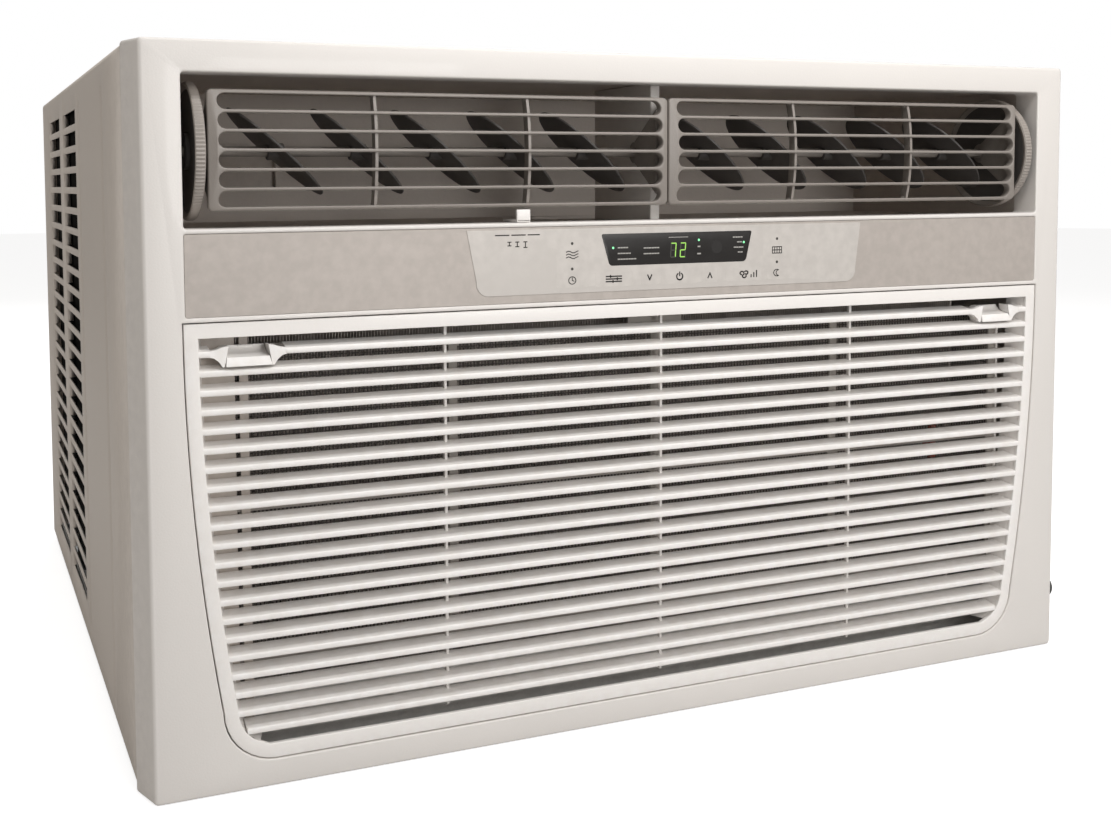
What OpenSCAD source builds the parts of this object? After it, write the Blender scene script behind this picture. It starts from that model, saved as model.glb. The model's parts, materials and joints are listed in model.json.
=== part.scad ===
/* [Cabinet] */
// Width over the two cabinet sides
cabinet_w = 668; // [640:1:700]
// Height of the unit
unit_h = 425; // [425:1:440]
// Depth from the front face to the rear screw heads
unit_d = 612; // [612:1:660]
// Thickness of the cabinet sheet
sheet = 1.2; // [0.8:0.1:2]
// Height of the cabinet's lower edge above the floor
cabinet_z = 5; // [5:1:8]

/* [Side louvres] */
// Rows of holes in each column
louvre_rows = 24; // [10:1:24]
// Height from one row to the next
louvre_pitch = 15.7; // [12:0.1:15.7]
// Height of one hole
louvre_h = 10.6; // [6:0.1:11]
// Front end of the forward column
louvre_y1 = 288; // [270:1:300]
// Front end of the rear column
louvre_y2 = 426; // [415:1:440]
// Length of one hole
louvre_len = 106; // [60:1:110]

/* [Front panel] */
// Depth of the panel's side
panel_d = 22; // [22:1:30]
// How much narrower the face is than the cabinet, each side
panel_draft = 7; // [3:0.5:9]
// Wall thickness of the moulding
wall = 2.5; // [2:0.1:3]
// Half width of the air outlet opening
outlet_half = 305; // [305:1:306]
// Lower edge of the air outlet opening
outlet_z0 = 321; // [321:0.5:322]
// Upper edge of the air outlet opening
outlet_z1 = 407; // [406:0.5:408]
// Lower edge of the control strip
strip_z0 = 272; // [271:0.5:273]
// Upper edge of the control strip
strip_z1 = 318.3; // [317:0.1:319]

/* [Intake grille] */
// Half width of the grille at its top
grille_half = 306; // [304:1:307]
// How much each side draws in towards the bottom
grille_taper = 18; // [10:1:18]
// Lower edge of the grille
grille_z0 = 16.4; // [16:0.1:18]
// Upper edge of the grille
grille_z1 = 268.6; // [268:0.1:268.6]
// Radius of its lower corners
grille_r = 30; // [20:1:32]
// Number of air slots
slot_count = 22; // [12:1:22]
// Height from one slot to the next
slot_pitch = 10.87; // [10:0.01:10.87]
// Open height of one slot
slot_gap = 7.25; // [6:0.05:7.5]
// Depth of the slats
slat_d = 13.5; // [8:0.5:14]
// Height of the hinge pins
hinge_z = 46; // [44:1:50]

/* [Air outlet] */
// Distance of the louvre axis behind the face
axis_y = 37; // [36:0.5:40]
// Height of the louvre axis
axis_z = 364.5; // [364:0.5:365]
// Where the post between the two louvres stands
post_x = 3; // [0:0.5:6]
// Radius of the thumbwheels
wheel_r = 40; // [38:0.5:40]
// Radius swept by the turning vanes
vane_r = 26; // [20:0.5:27]
// Vanes on each shaft
vane_count = 5; // [3:1:5]
// Distance from one vane to the next
vane_pitch = 50.5; // [45:0.5:51]
// Slant of the vanes from square to the shaft
vane_slant = 48; // [30:1:50]

/* [Fans] */
// Side position of the fan shaft
fan_x = -40; // [-45:1:-40]
// Height of the fan shaft
fan_z = 190; // [185:1:190]
// Radius of the blower wheel
blower_r = 86; // [70:1:88]
// Blades in the blower wheel
blower_blades = 36; // [20:1:40]
// Radius of the condenser fan with its slinger ring
cond_fan_r = 165; // [150:1:165]

// places of the latches, filter, outlet duct, scroll mouth, compressor and accumulator
latch_x = 270;
latch_w = 24;
latch_z0 = 246;
latch_z1 = 256.4;
filter_half = 285;
filter_z0 = 66;
filter_z1 = 254;
filter_y = 16.5;
duct_z0 = 316.5;
duct_z1 = 411.5;
duct_y0 = 21;
duct_y1 = 206;
scroll_mouth = [-36, 62];
comp_x = 215;
comp_y = 325;
acc_x = 125;
acc_y = 262;

/* [Hidden] */

half_w = cabinet_w / 2;
face_half = half_w - panel_draft;
wheel_reach = wheel_r - axis_y;
y_middle = (unit_d - wheel_reach) / 2;
screw_head_h = 2;
screw_x = -half_w + 7;
screw_heights = [60, 200, 340];
sheet_rear = unit_d - screw_head_h;
cabinet_top = unit_h - 0.5;
fit = 0.05;
seam = 0.7;
slot_top = 260.3;
slot_frame = 8;
slat_h = slot_pitch - slot_gap;
hinge_y = 5;
hinge_pin_r = 1.75;
shaft_r = 3;
motor_shaft_r = 6;
wheel_w = 8;
wheel_x = 292.5;
louvre_end = 290;
louvre_half_h = 34;
bar_d = 6;
key_gap = 0.2;
cord_y = 13;
cord_z = 40;
cord_bush_r = 8;
plate_colour = [0.89, 0.88, 0.86];
metal_colour = [0.78, 0.78, 0.76];
dark_colour = [0.23, 0.23, 0.24];
copper_colour = [0.72, 0.45, 0.32];

// x, z, width and height of each key, in the order of the key modules
KEY_PLACES = [
    [-39, 284.8, 26, 9], [-13.4, 284.8, 12, 9], [8.5, 284.8, 27, 9], [31, 284.8, 12, 9],
    [57, 284.8, 28, 9], [-68, 300.6, 22, 8.5], [-68, 284.8, 22, 8.5], [82.5, 299.8, 22, 8.5],
    [82.5, 284.8, 16, 8.5]
];
// small indicator lamps that shine through the strip
LAMP_PLACES = [[-68, 307.6], [-68, 291.9], [82.5, 307.2], [82.5, 291.9]];

function arc(cx, cy, r, a0, a1, n) =
    [for (i = [0:n]) [cx + r * cos(a0 + (a1 - a0) * i / n), cy + r * sin(a0 + (a1 - a0) * i / n)]];

// half width of the grille at a given height
function grille_side(z) =
    let (t = (grille_z1 - z) / (grille_z1 - 50)) grille_half - grille_taper * pow(t, 2);

// right-hand edge of the grille, grown outwards by g, from top to bottom middle
function grille_edge(g) =
    let (zc = grille_z0 + grille_r, xc = grille_side(zc) - grille_r)
    concat(
        [[grille_half + g, grille_z1 + g]],
        [for (i = [1:9]) let (z = grille_z1 - (grille_z1 - zc) * i / 10) [grille_side(z) + g, z]],
        arc(xc, zc, grille_r + g, 0, -90, 8));

function mirrored(edge) =
    concat(edge, [for (i = [len(edge) - 1:-1:0]) [-edge[i][0], edge[i][1]]]);

// half width of the slot field at a given height
function field_half(z) =
    let (zc = grille_z0 + grille_r, r = grille_r - slot_frame, drop = zc - z)
    drop <= 0 ? grille_side(z) - slot_frame
        : grille_side(zc) - grille_r + sqrt(max(r * r - drop * drop, 0));

// stands the part's working frame, front face at y = 0, on the middle of its footprint
module placed() { translate([0, -y_middle, 0]) children(); }

// extrudes an outline drawn in x and z from y0 back by d
module slab(y0, d) { translate([0, y0 + d, 0]) rotate([90, 0, 0]) linear_extrude(d) children(); }

// a box given by its lowest corner and its highest corner
module span(a, b) { translate(a) cube([b[0] - a[0], b[1] - a[1], b[2] - a[2]]); }

// round bars and bores along each axis
module rod_x(x0, x1, y, z, r) {
    translate([x0, y, z]) rotate([0, 90, 0]) cylinder(h = x1 - x0, r = r, $fn = 48);
}
module rod_y(y0, y1, x, z, r) {
    translate([x, y1, z]) rotate([90, 0, 0]) cylinder(h = y1 - y0, r = r, $fn = 64);
}
module rod_z(z0, z1, x, y, r) { translate([x, y, z0]) cylinder(h = z1 - z0, r = r, $fn = 48); }

// a quarter bend of tube that joins two straight runs
module bend(at, turn, bend_r, tube_r) {
    translate(at) rotate(turn) rotate_extrude(angle = 90, $fn = 48)
        translate([bend_r, 0]) circle(r = tube_r, $fn = 24);
}

// ---------------------------------------------------------------- cabinet
module side_louvre_holes() {
    reach = 6;
    for (row = [0:louvre_rows - 1], y0 = [louvre_y1, louvre_y2])
        let (z = 402 - louvre_h / 2 - row * louvre_pitch)
        span([-half_w - 1, y0, z - louvre_h / 2],
            [-half_w + reach, y0 + louvre_len, z + louvre_h / 2]);
}

module cabinet_side() {
    bead = 0.5;
    lip = 4;
    difference() {
        union() {
            span([-half_w, panel_d, cabinet_z], [-half_w + sheet, sheet_rear, cabinet_top]);
            for (y0 = [louvre_y1, louvre_y2])
                span([-half_w + sheet, y0 + louvre_len, 36],
                    [-half_w + sheet + lip, y0 + louvre_len + 1, 404]);
        }
        side_louvre_holes();
        for (y = [119, 263, 544]) span([-half_w - 1, y - 2, 20], [-half_w + bead, y + 2, 408]);
    }
    span([-half_w + sheet, panel_d + 12, cabinet_z], [-half_w + 18, sheet_rear, cabinet_z + sheet]);
    difference() {
        span([-half_w + sheet, sheet_rear - sheet, cabinet_z + sheet],
            [-half_w + 14, sheet_rear, cabinet_top - sheet]);
        for (z = screw_heights) rod_y(sheet_rear - 3, sheet_rear + 1, screw_x, z, 1.61);
    }
}

module cabinet() placed() color([0.76, 0.74, 0.7]) {
    cabinet_side();
    mirror([1, 0, 0]) cabinet_side();
    difference() {
        span([-half_w + sheet, panel_d, cabinet_top - sheet], [half_w - sheet, sheet_rear, cabinet_top]);
        for (row = [0:9], x0 = [-262, 22])
            span([x0, 340 + row * 24, cabinet_top - 3], [x0 + 240, 349 + row * 24, cabinet_top + 1]);
        for (x = [-300, -100, 100, 300]) rod_z(cabinet_top - 3, cabinet_top + 1, x, 205, 2.2);
    }
    span([-half_w + 14, sheet_rear - sheet, cabinet_top - 16],
        [half_w - 14, sheet_rear, cabinet_top - sheet]);
}

// tray that carries every outdoor part, with two runners pressed down to the sill
module base_pan() placed() color(metal_colour) {
    top = cabinet_z + sheet + 0.1;
    span([-half_w + 2, panel_d + 14, top], [half_w - 2, sheet_rear - 2, top + sheet]);
    for (x = [-half_w + 2, half_w - 2 - sheet])
        span([x, panel_d + 14, top + sheet], [x + sheet, sheet_rear - 2, top + 26]);
    span([-half_w + 3.2, sheet_rear - 2 - sheet, top + sheet], [half_w - 3.2, sheet_rear - 2, 12]);
    for (x = [-260, 220]) span([x, 70, 0], [x + 40, 590, top]);
}

module cabinet_screws() placed() color([0.6, 0.6, 0.58])
    for (x = [screw_x, -screw_x], z = screw_heights) {
        rod_y(sheet_rear + 0.01, unit_d, x, z, 4);
        rod_y(sheet_rear - 10, sheet_rear + 0.01, x, z, 1.6);
    }

// wire guard over the rear coil
module rear_guard() placed() color([0.35, 0.35, 0.36]) {
    y = sheet_rear - 7;
    for (x = [-316, 312]) span([x, y, 20], [x + 4, y + 4, 404]);
    for (z = [20, 400]) span([-312, y, z], [312, y + 4, z + 4]);
    for (i = [1:25]) rod_z(24, 400, -312 + i * 24, y + 2, 1.5);
    for (z = [120, 212, 304]) rod_x(-312, 312, y + 4.6, z, 1);
}

// ---------------------------------------------------------------- front panel
module panel_outline(inset, back) {
    r = 4;
    f = face_half - inset;
    b = half_w - inset * 1.05;
    polygon(concat(
        [[-b, back], [b, back]],
        arc(f - r, inset + r, r, -18, -90, 4),
        arc(-f + r, inset + r, r, -90, -162, 4)));
}

module key_openings(grow, y0, y1) {
    for (k = KEY_PLACES)
        let (half = [k[2] / 2 + grow, k[3] / 2 + grow])
        span([k[0] - half[0], y0, k[1] - half[1]], [k[0] + half[0], y1, k[1] + half[1]]);
}

module display_outline(g) {
    polygon([
        [-47.5 - g, 313 + g], [62.5 + g, 313 + g], [60.5 + g, 294.5],
        [58.5, 293 - g], [-42.5, 293 - g], [-44.5 - g, 294.5]]);
}

module hinge_boss() {
    difference() {
        rod_x(291.5, 297, hinge_y, hinge_z, 3.6);
        rod_x(291, 298, hinge_y, hinge_z, hinge_pin_r + fit);
    }
}

module front_panel() placed() color(plate_colour) {
    difference() {
        linear_extrude(unit_h) panel_outline(0, panel_d);
        translate([0, 0, wall]) linear_extrude(unit_h - 2 * wall) panel_outline(wall, panel_d + 1);
        span([-outlet_half, -1, outlet_z0], [outlet_half, 5, outlet_z1]);
        slab(-1, 6) polygon(mirrored(grille_edge(seam)));
        rod_x(324, half_w + 1, cord_y, cord_z, cord_bush_r + fit);
        rod_x(291, 297, hinge_y, hinge_z, hinge_pin_r + fit);
        span([-outlet_half, -1, strip_z0], [outlet_half, 1.5, strip_z1]);
        slab(1, 6) display_outline(0.3);
        key_openings(key_gap, 1, 6);
        for (p = LAMP_PLACES) rod_y(1, 6, p[0], p[1], 1);
    }
    // wall behind the control strip
    difference() {
        span([-outlet_half, wall - 0.01, strip_z0], [outlet_half, 4, strip_z1]);
        slab(1, 6) display_outline(0.3);
        key_openings(key_gap, 1, 6);
        for (p = LAMP_PLACES) rod_y(1, 6, p[0], p[1], 1);
    }
    // walls that lead from the face back to the outlet duct
    for (x = [-outlet_half - wall, outlet_half]) span([x, wall, outlet_z0], [x + wall, 20.5, outlet_z1]);
    span([-outlet_half - wall, wall, outlet_z1], [outlet_half + wall, 20.5, outlet_z1 + wall]);
    span([-outlet_half - wall, 4, outlet_z0 - 2.4], [outlet_half + wall, 20.5, outlet_z0]);
    // turned-in edge around the grille
    difference() {
        slab(wall, 4) difference() {
            polygon(mirrored(grille_edge(seam + 2)));
            polygon(mirrored(grille_edge(seam)));
            translate([-330, grille_z1 - 0.1]) square([660, 10]);
        }
        for (x = [-300, 280]) rod_x(x, x + 20, hinge_y, hinge_z, hinge_pin_r + fit);
    }
    hinge_boss();
    mirror([1, 0, 0]) hinge_boss();
}

module control_strip() placed() color([0.70, 0.67, 0.64])
    difference() {
        span([-outlet_half + 0.2, 0.5, strip_z0 + 0.2], [outlet_half - 0.2, 1.49, strip_z1 - 0.2]);
        slab(0, 3) display_outline(0.3);
        key_openings(key_gap, 0, 3);
        for (p = LAMP_PLACES) rod_y(0, 3, p[0], p[1], 1);
    }

module overlay_outline() {
    polygon(concat(
        [[149.8, 316.8], [-138, 316.8]],
        arc(-124, 285, 8, 172, 265, 5),
        arc(138, 285, 8, 275, 368, 5)));
}

module control_overlay() placed() color([0.80, 0.79, 0.77])
    difference() {
        slab(0.2, 0.29) overlay_outline();
        slab(0, 3) display_outline(0.3);
        key_openings(key_gap, 0, 3);
        for (p = LAMP_PLACES) rod_y(0, 3, p[0], p[1], 1);
    }

module display_window() placed() color([0.05, 0.05, 0.05])
    slab(0.15, 2.6) display_outline(0);

function segment_places(n) =
    n == 2 ? [0, 1, 6, 4, 3] : [0, 1, 2];

// one bar of a figure; a to g are 0 to 6
module segment(s) {
    w = 4.2;
    h = 9.6;
    t = 1;
    if (s == 0) translate([0, h - t]) square([w, t]);
    if (s == 1) translate([w - t, h / 2]) square([t, h / 2]);
    if (s == 2) translate([w - t, 0]) square([t, h / 2]);
    if (s == 3) square([w, t]);
    if (s == 4) square([t, h / 2]);
    if (s == 6) translate([0, h / 2 - t / 2]) square([w, t]);
}

module digit_display() placed() color([0.45, 0.95, 0.5]) {
    span([0, 3.4, 294.5], [15, 6.2, 308]);
    for (d = [[1.6, 7], [8.6, 2]])
        slab(2.9, 0.5) translate([d[0], 296.5]) offset(delta = 0.001)
            for (s = segment_places(d[1])) segment(s);
}

module display_board() placed() color([0.2, 0.4, 0.25]) {
    difference() {
        span([-90, 6.8, 276], [110, 8.4, 312]);
        for (x = [-86, 106], z = [280, 308]) rod_y(6, 9, x, z, 1.6);
    }
    for (k = KEY_PLACES) span([k[0] - 3, 6.2, k[1] - 3], [k[0] + 3, 6.8, k[1] + 3]);
}

// a key with a flange behind the strip that keeps it in
module key(i) {
    k = KEY_PLACES[i];
    x = k[2] / 2;
    z = k[3] / 2;
    placed() color([0.80, 0.79, 0.77]) {
        span([k[0] - x, 0.2, k[1] - z], [k[0] + x, 4.2, k[1] + z]);
        span([k[0] - x - 0.7, 4.2, k[1] - z - 0.7], [k[0] + x + 0.7, 5.5, k[1] + z + 0.7]);
    }
}

module key_mode() key(0);
module key_down() key(1);
module key_power() key(2);
module key_up() key(3);
module key_fan_speed() key(4);
module key_clean_air() key(5);
module key_timer() key(6);
module key_filter_reset() key(7);
module key_sleep() key(8);

// ---------------------------------------------------------------- intake grille

module slot_field() {
    for (k = [0:slot_count - 1])
        let (z1 = slot_top - k * slot_pitch, z0 = z1 - slot_gap, w = min(field_half(z0), field_half(z1)))
        translate([-w, z0]) square([2 * w, slot_gap]);
}

// slats rise towards the back, so that the coil is hard to see from above
module slat(z, half) {
    rise = 2;
    translate([-half, 0, 0]) rotate([90, 0, 90]) linear_extrude(2 * half)
        polygon([[3.4, z], [3.4, z + slat_h], [slat_d, z + slat_h + rise - 0.7], [slat_d, z + rise]]);
}

module filter_channel() {
    span([285.5, 3.5, 62], [287.3, 22.4, 252]);
    span([281.5, 20.9, 62], [285.5, 22.4, 252]);
    rod_x(284.5, 296, hinge_y, hinge_z, hinge_pin_r);
    span([282, 3.5, hinge_z - 4], [285.5, 9, hinge_z + 4]);
}

// room for both latches, with their downward stroke, cut this deep
module latch_openings(depth) {
    clear = 0.4;
    stroke = 4;
    half = latch_w / 2 + clear;
    for (x = [-latch_x, latch_x])
        span([x - half, 0, latch_z0 - stroke], [x + half, depth, latch_z1 + clear]);
}

module intake_grille() placed() color([0.92, 0.91, 0.89]) {
    rib_x = 149;
    difference() {
        slab(0.5, 3) difference() {
            polygon(mirrored(grille_edge(0)));
            slot_field();
        }
        latch_openings(4);
    }
    difference() {
        for (k = [1:slot_count - 1])
            let (z = slot_top - k * slot_pitch) slat(z, field_half(z));
        latch_openings(15);
    }
    // upright ribs tie the slats together
    for (x = [-rib_x, 0, rib_x]) span([x - 1, 3, 27], [x + 1, slat_d, 260]);
    filter_channel();
    mirror([1, 0, 0]) filter_channel();
}

// finger latch that is pulled down to free the grille
module latch(x) {
    wall = 2;
    placed() color([0.95, 0.94, 0.92]) {
        difference() {
            span([x - latch_w / 2, -1, latch_z0], [x + latch_w / 2, 12, latch_z1]);
            translate([x - latch_w / 2 + wall, -2, latch_z0 + wall])
                rotate([14, 0, 0]) cube([latch_w - 2 * wall, 9, 14]);
        }
        span([x - 4, 12, latch_z0 + wall], [x + 4, 14.8, latch_z1 + 1]);
    }
}
module latch_left() latch(-latch_x);
module latch_right() latch(latch_x);

module filter_frame() placed() color([0.85, 0.85, 0.82]) {
    bar = 6;
    difference() {
        span([-filter_half, filter_y, filter_z0], [filter_half, filter_y + 3.6, filter_z1]);
        for (i = [0:3], j = [0:1])
            let (w = (2 * filter_half - 5 * bar) / 4, h = (filter_z1 - filter_z0 - 3 * bar) / 2)
            let (x = -filter_half + bar + i * (w + bar), z = filter_z0 + bar + j * (h + bar))
            span([x, filter_y - 1, z], [x + w, filter_y + 5, z + h]);
    }
    span([-20, filter_y, filter_z1], [20, filter_y + 2, filter_z1 + 5]);
}

module filter_mesh() placed() color([0.3, 0.32, 0.34, 0.8]) {
    bar = 6;
    for (i = [0:3], j = [0:1])
        let (w = (2 * filter_half - 5 * bar) / 4, h = (filter_z1 - filter_z0 - 3 * bar) / 2)
        let (x = -filter_half + bar + i * (w + bar), z = filter_z0 + bar + j * (h + bar))
        span([x + 0.01, filter_y + 1.4, z + 0.01], [x + w - 0.01, filter_y + 2, z + h - 0.01]);
}

// ---------------------------------------------------------------- air outlet
// side view of the louvre's bowed front, front edge at y_front
module bowed_front(y_front, d) {
    bow_r = 128;
    n = 8;
    a = asin(louvre_half_h / bow_r);
    polygon(concat(
        arc(y_front + bow_r, axis_z, bow_r, 180 + a, 180 - a, n),
        arc(y_front + bow_r, axis_z, bow_r - d, 180 - a, 180 + a, n)));
}

module louvre(x0, x1) {
    y_front = 1.5;
    end_w = 5.5;
    gap_h = 8.3;
    pitch = (2 * louvre_half_h - 2.6) / 6;
    difference() {
        translate([x0, 0, 0]) rotate([90, 0, 90]) linear_extrude(x1 - x0) bowed_front(y_front, bar_d);
        for (k = [0:5])
            let (z = axis_z - louvre_half_h + 1.3 + pitch * (k + 0.5), r = gap_h / 2) {
                span([x0 + end_w + r, -5, z - r], [x1 - end_w - r, 20, z + r]);
                rod_y(-5, 20, x0 + end_w + r, z, r);
                rod_y(-5, 20, x1 - end_w - r, z, r);
            }
    }
    for (t = [1 / 3, 2 / 3])
        let (x = x0 + (x1 - x0) * t)
        translate([x - 1, 0, 0]) rotate([90, 0, 90]) linear_extrude(2)
            bowed_front(y_front + 2, bar_d + 1);
}

// arm and hub that hang one end of a louvre on the vane shaft
module louvre_arm(x0) {
    hub_r = 7;
    difference() {
        translate([x0, 0, 0]) rotate([90, 0, 90]) linear_extrude(2.5) {
            polygon([
                [9, axis_z - 27], [9, axis_z + 27],
                [axis_y, axis_z + hub_r - 0.5], [axis_y, axis_z - hub_r + 0.5]]);
            translate([axis_y, axis_z]) circle(r = hub_r, $fn = 48);
        }
        rod_x(x0 - 1, x0 + 4, axis_y, axis_z, shaft_r + fit);
    }
}

module louvre_left() placed() color([0.80, 0.79, 0.77]) {
    louvre(-louvre_end, post_x - 0.4);
    louvre_arm(-louvre_end);
    louvre_arm(post_x - 7);
}
module louvre_right() placed() color([0.80, 0.79, 0.77]) {
    louvre(post_x + 0.4, louvre_end);
    louvre_arm(louvre_end - 2.5);
    louvre_arm(post_x + 4.5);
}

module vane_shaft(x0, x1) { placed() color([0.72, 0.71, 0.69]) rod_x(x0, x1, axis_y, axis_z, shaft_r); }
module vane_shaft_left() vane_shaft(-305.3, post_x - 0.5);
module vane_shaft_right() vane_shaft(post_x + 0.5, 305.3);

// oblique slices of a cylinder, which steer the air left and right as the shaft turns
module vanes(x0) {
    placed() color(dark_colour) for (i = [0:vane_count - 1])
        let (x = x0 + i * vane_pitch) difference() {
            intersection() {
                rod_x(x - 40, x + 40, axis_y, axis_z, vane_r);
                union() {
                    translate([x, axis_y, axis_z]) rotate([0, -vane_slant, 0])
                        cube([1.6, 80, 120], center = true);
                    rod_x(x - 5, x + 5, axis_y, axis_z, 5);
                }
            }
            rod_x(x - 60, x + 60, axis_y, axis_z, shaft_r + 0.01);
        }
}
module vanes_left() vanes(-244.5);
module vanes_right() vanes(post_x + 45.5);

module thumbwheel(x0) {
    teeth = 120;
    tooth_h = 0.7;
    placed() color([0.66, 0.65, 0.62]) difference() {
        union() {
            translate([x0, axis_y, axis_z]) rotate([90, 0, 90]) linear_extrude(wheel_w) difference() {
                polygon([for (i = [0:2 * teeth - 1])
                    let (a = i * 180 / teeth, r = wheel_r - (i % 2) * tooth_h) [r * cos(a), r * sin(a)]]);
                circle(r = wheel_r - 4, $fn = 96);
            }
            rod_x(x0 + wheel_w / 2 - 1.2, x0 + wheel_w / 2 + 1.2, axis_y, axis_z, wheel_r - 3.5);
            rod_x(x0, x0 + wheel_w, axis_y, axis_z, 8);
        }
        rod_x(x0 - 1, x0 + wheel_w + 1, axis_y, axis_z, shaft_r + 0.01);
    }
}
module thumbwheel_left() thumbwheel(-wheel_x - wheel_w);
module thumbwheel_right() thumbwheel(wheel_x);

module outlet_duct() placed() color([0.42, 0.39, 0.36]) {
    t = 2.5;
    difference() {
        span([-308, duct_y0, duct_z0], [308, duct_y1, duct_z1]);
        span([-305.5, duct_y0 - 1, duct_z0 + t], [305.5, duct_y1 - t, duct_z1 - t]);
        // mouth of the blower scroll
        span([scroll_mouth[0], 124, duct_z0 - 1], [scroll_mouth[1], 192, duct_z0 + t + 1]);
        // fresh air hole
        span([-260, duct_y1 - t - 1, 342], [-204, duct_y1 + 1, 374]);
        for (s = [-1, 1]) rod_x(s * 306 - 3, s * 306 + 3, axis_y, axis_z, shaft_r + fit);
        // slot for the vent lever's stem
        span([-126, 22, duct_z0 - 1], [-92, 25.4, duct_z0 + t + 1]);
    }
    for (s = [-1, 1]) difference() {
        rod_x(s * 304 - 1.5, s * 304 + 1.5, axis_y, axis_z, 6);
        rod_x(s * 304 - 2, s * 304 + 2, axis_y, axis_z, shaft_r + fit);
    }
}

module outlet_post() placed() color([0.86, 0.85, 0.83])
    difference() {
        span([post_x - 3.5, 22, duct_z0 + 2.6], [post_x + 3.5, 100, duct_z1 - 2.6]);
        rod_x(post_x - 5, post_x + 5, axis_y, axis_z, shaft_r + fit);
    }

// tab on the sill of the outlet; its stem passes down through the duct floor
module vent_lever() placed() color([0.95, 0.94, 0.92]) {
    span([-104, 2.5, 321.3], [-95, 24.8, 322.8]);
    span([-104, 2.5, 322.8], [-95, 4.5, 329]);
    span([-101.5, 22.4, 312], [-97.5, 24.8, 321.3]);
}

// flap on the outdoor side of the bulkhead, worked by the lever
module vent_door() placed() color([0.5, 0.5, 0.5]) {
    span([-261.5, 209, 338], [-202.5, 210.6, 378]);
    rod_x(-268, -196, 211.5, 380, 1.5);
    span([-258, 209.6, 376], [-206, 211.5, 380]);
}

// ---------------------------------------------------------------- indoor side
module condensate_tray() placed() color([0.88, 0.88, 0.86]) {
    z = 9;
    span([-305, 37, z], [300, 104, 23.8]);
    span([-305, 33.5, z], [300, 36.8, 46]);
    span([-305, 92, 23.8], [300, 96, 44]);
}

module evaporator() placed() color(metal_colour) {
    x0 = -282;
    x1 = 262;
    span([x0, 38, 24], [x1, 86, 262]);
    for (x = [x0 - 1.5, x1]) span([x, 37.5, 24], [x + 1.5, 86.5, 263]);
    for (i = [0:7]) {
        translate([x1 + 1.5, 62, 52 + i * 26]) rotate([0, 90, 0]) rotate([0, 0, 180]) coil_return();
        translate([x0 - 1.5, 62, 39 + i * 26]) rotate([0, -90, 0]) coil_return();
    }
}

// return bend of a coil, standing on its end plate
module coil_return() {
    rotate([90, 0, 90]) rotate_extrude(angle = 180, $fn = 48)
        translate([10, 0]) circle(r = 4, $fn = 24);
}

module control_box() placed() color(metal_colour)
    difference() {
        span([110, 26, 268], [302, 104, 314]);
        span([111.2, 27.2, 269.2], [300.8, 102.8, 315]);
    }

module control_board() placed() color([0.2, 0.4, 0.25]) {
    span([205, 32, 274], [295, 98, 275.6]);
    for (x = [212, 240, 268]) span([x, 40, 275.6], [x + 18, 60, 291]);
    span([214, 68, 275.6], [252, 92, 300]);
    for (x = [262, 274, 286]) rod_z(275.6, 294, x, 80, 5);
    for (x = [209, 291], y = [36, 94]) rod_z(269.2, 274, x, y, 2);
}

module run_capacitor() placed() color(metal_colour) {
    rod_x(122, 178, 65, 291, 20.5);
    for (y = [58, 65, 72]) span([178, y - 2, 289], [188, y + 2, 290]);
}

module room_sensor() placed() color([0.8, 0.3, 0.2]) {
    rod_z(140, 168, 240, 30, 3);
    span([238, 33, 150], [242, 37.4, 158]);
}

module scroll_room() {
    // spiral that widens towards the mouth
    polygon(concat(
        [for (i = [0:22])
            let (a = 20 - i * 15, r = blower_r + 6 + i * 1.1)
            [fan_x + r * cos(a), fan_z + r * sin(a)]],
        [[scroll_mouth[0], 330], [scroll_mouth[1], 330]]));
}

module blower_scroll() placed() color([0.9, 0.9, 0.92])
    difference() {
        slab(108, 96) polygon([[-172, 62], [92, 62], [92, 316.3], [-172, 316.3]]);
        slab(118, 80) scroll_room();
        rod_y(100, 119, fan_x, fan_z, 72);
        rod_y(190, 210, fan_x, fan_z, 20);
    }

module blower_wheel() placed() color(dark_colour) {
    y0 = 123;
    y1 = 190;
    difference() {
        union() {
            rod_y(y1 - 2, y1, fan_x, fan_z, blower_r);
            rod_y(y1 - 40, y1 - 2, fan_x, fan_z, 16);
        }
        rod_y(y1 - 50, y1 + 1, fan_x, fan_z, motor_shaft_r + 0.01);
    }
    difference() {
        rod_y(y0, y0 + 2.5, fan_x, fan_z, blower_r);
        rod_y(y0 - 1, y0 + 4, fan_x, fan_z, blower_r - 16);
    }
    for (i = [0:blower_blades - 1])
        translate([fan_x, 0, fan_z]) rotate([0, i * 360 / blower_blades, 0])
            translate([blower_r - 15, y0 + 2.5, 0])
            rotate([0, 35, 0]) cube([14, y1 - y0 - 4.5, 1]);
}

// ---------------------------------------------------------------- outdoor side
module bulkhead() placed() color(metal_colour) {
    difference() {
        span([-330, 206.5, 10], [330, 207.7, 412]);
        rod_y(200, 212, fan_x, fan_z, 14);
        span([-260, 200, 342], [-204, 212, 374]);
        rod_y(200, 212, 125, 250, 7);
        rod_y(200, 212, -272, 62, 6);
    }
    for (x = [-268, -201.7]) difference() {
        span([x, 207.7, 374], [x + 5.7, 214.5, 384]);
        rod_x(x - 1, x + 7, 211.5, 380, 1.5 + fit);
    }
}

module fan_motor() placed() color([0.3, 0.31, 0.33]) difference() {
    union() {
        rod_y(228, 302, fan_x, fan_z, 60);
        rod_y(220, 310, fan_x, fan_z, 24);
        for (i = [0:5])
            translate([fan_x, 0, fan_z]) rotate([0, i * 60, 0]) translate([-2, 240, 58]) cube([4, 50, 5]);
    }
    rod_y(215, 315, fan_x, fan_z, motor_shaft_r + fit);
}

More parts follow.
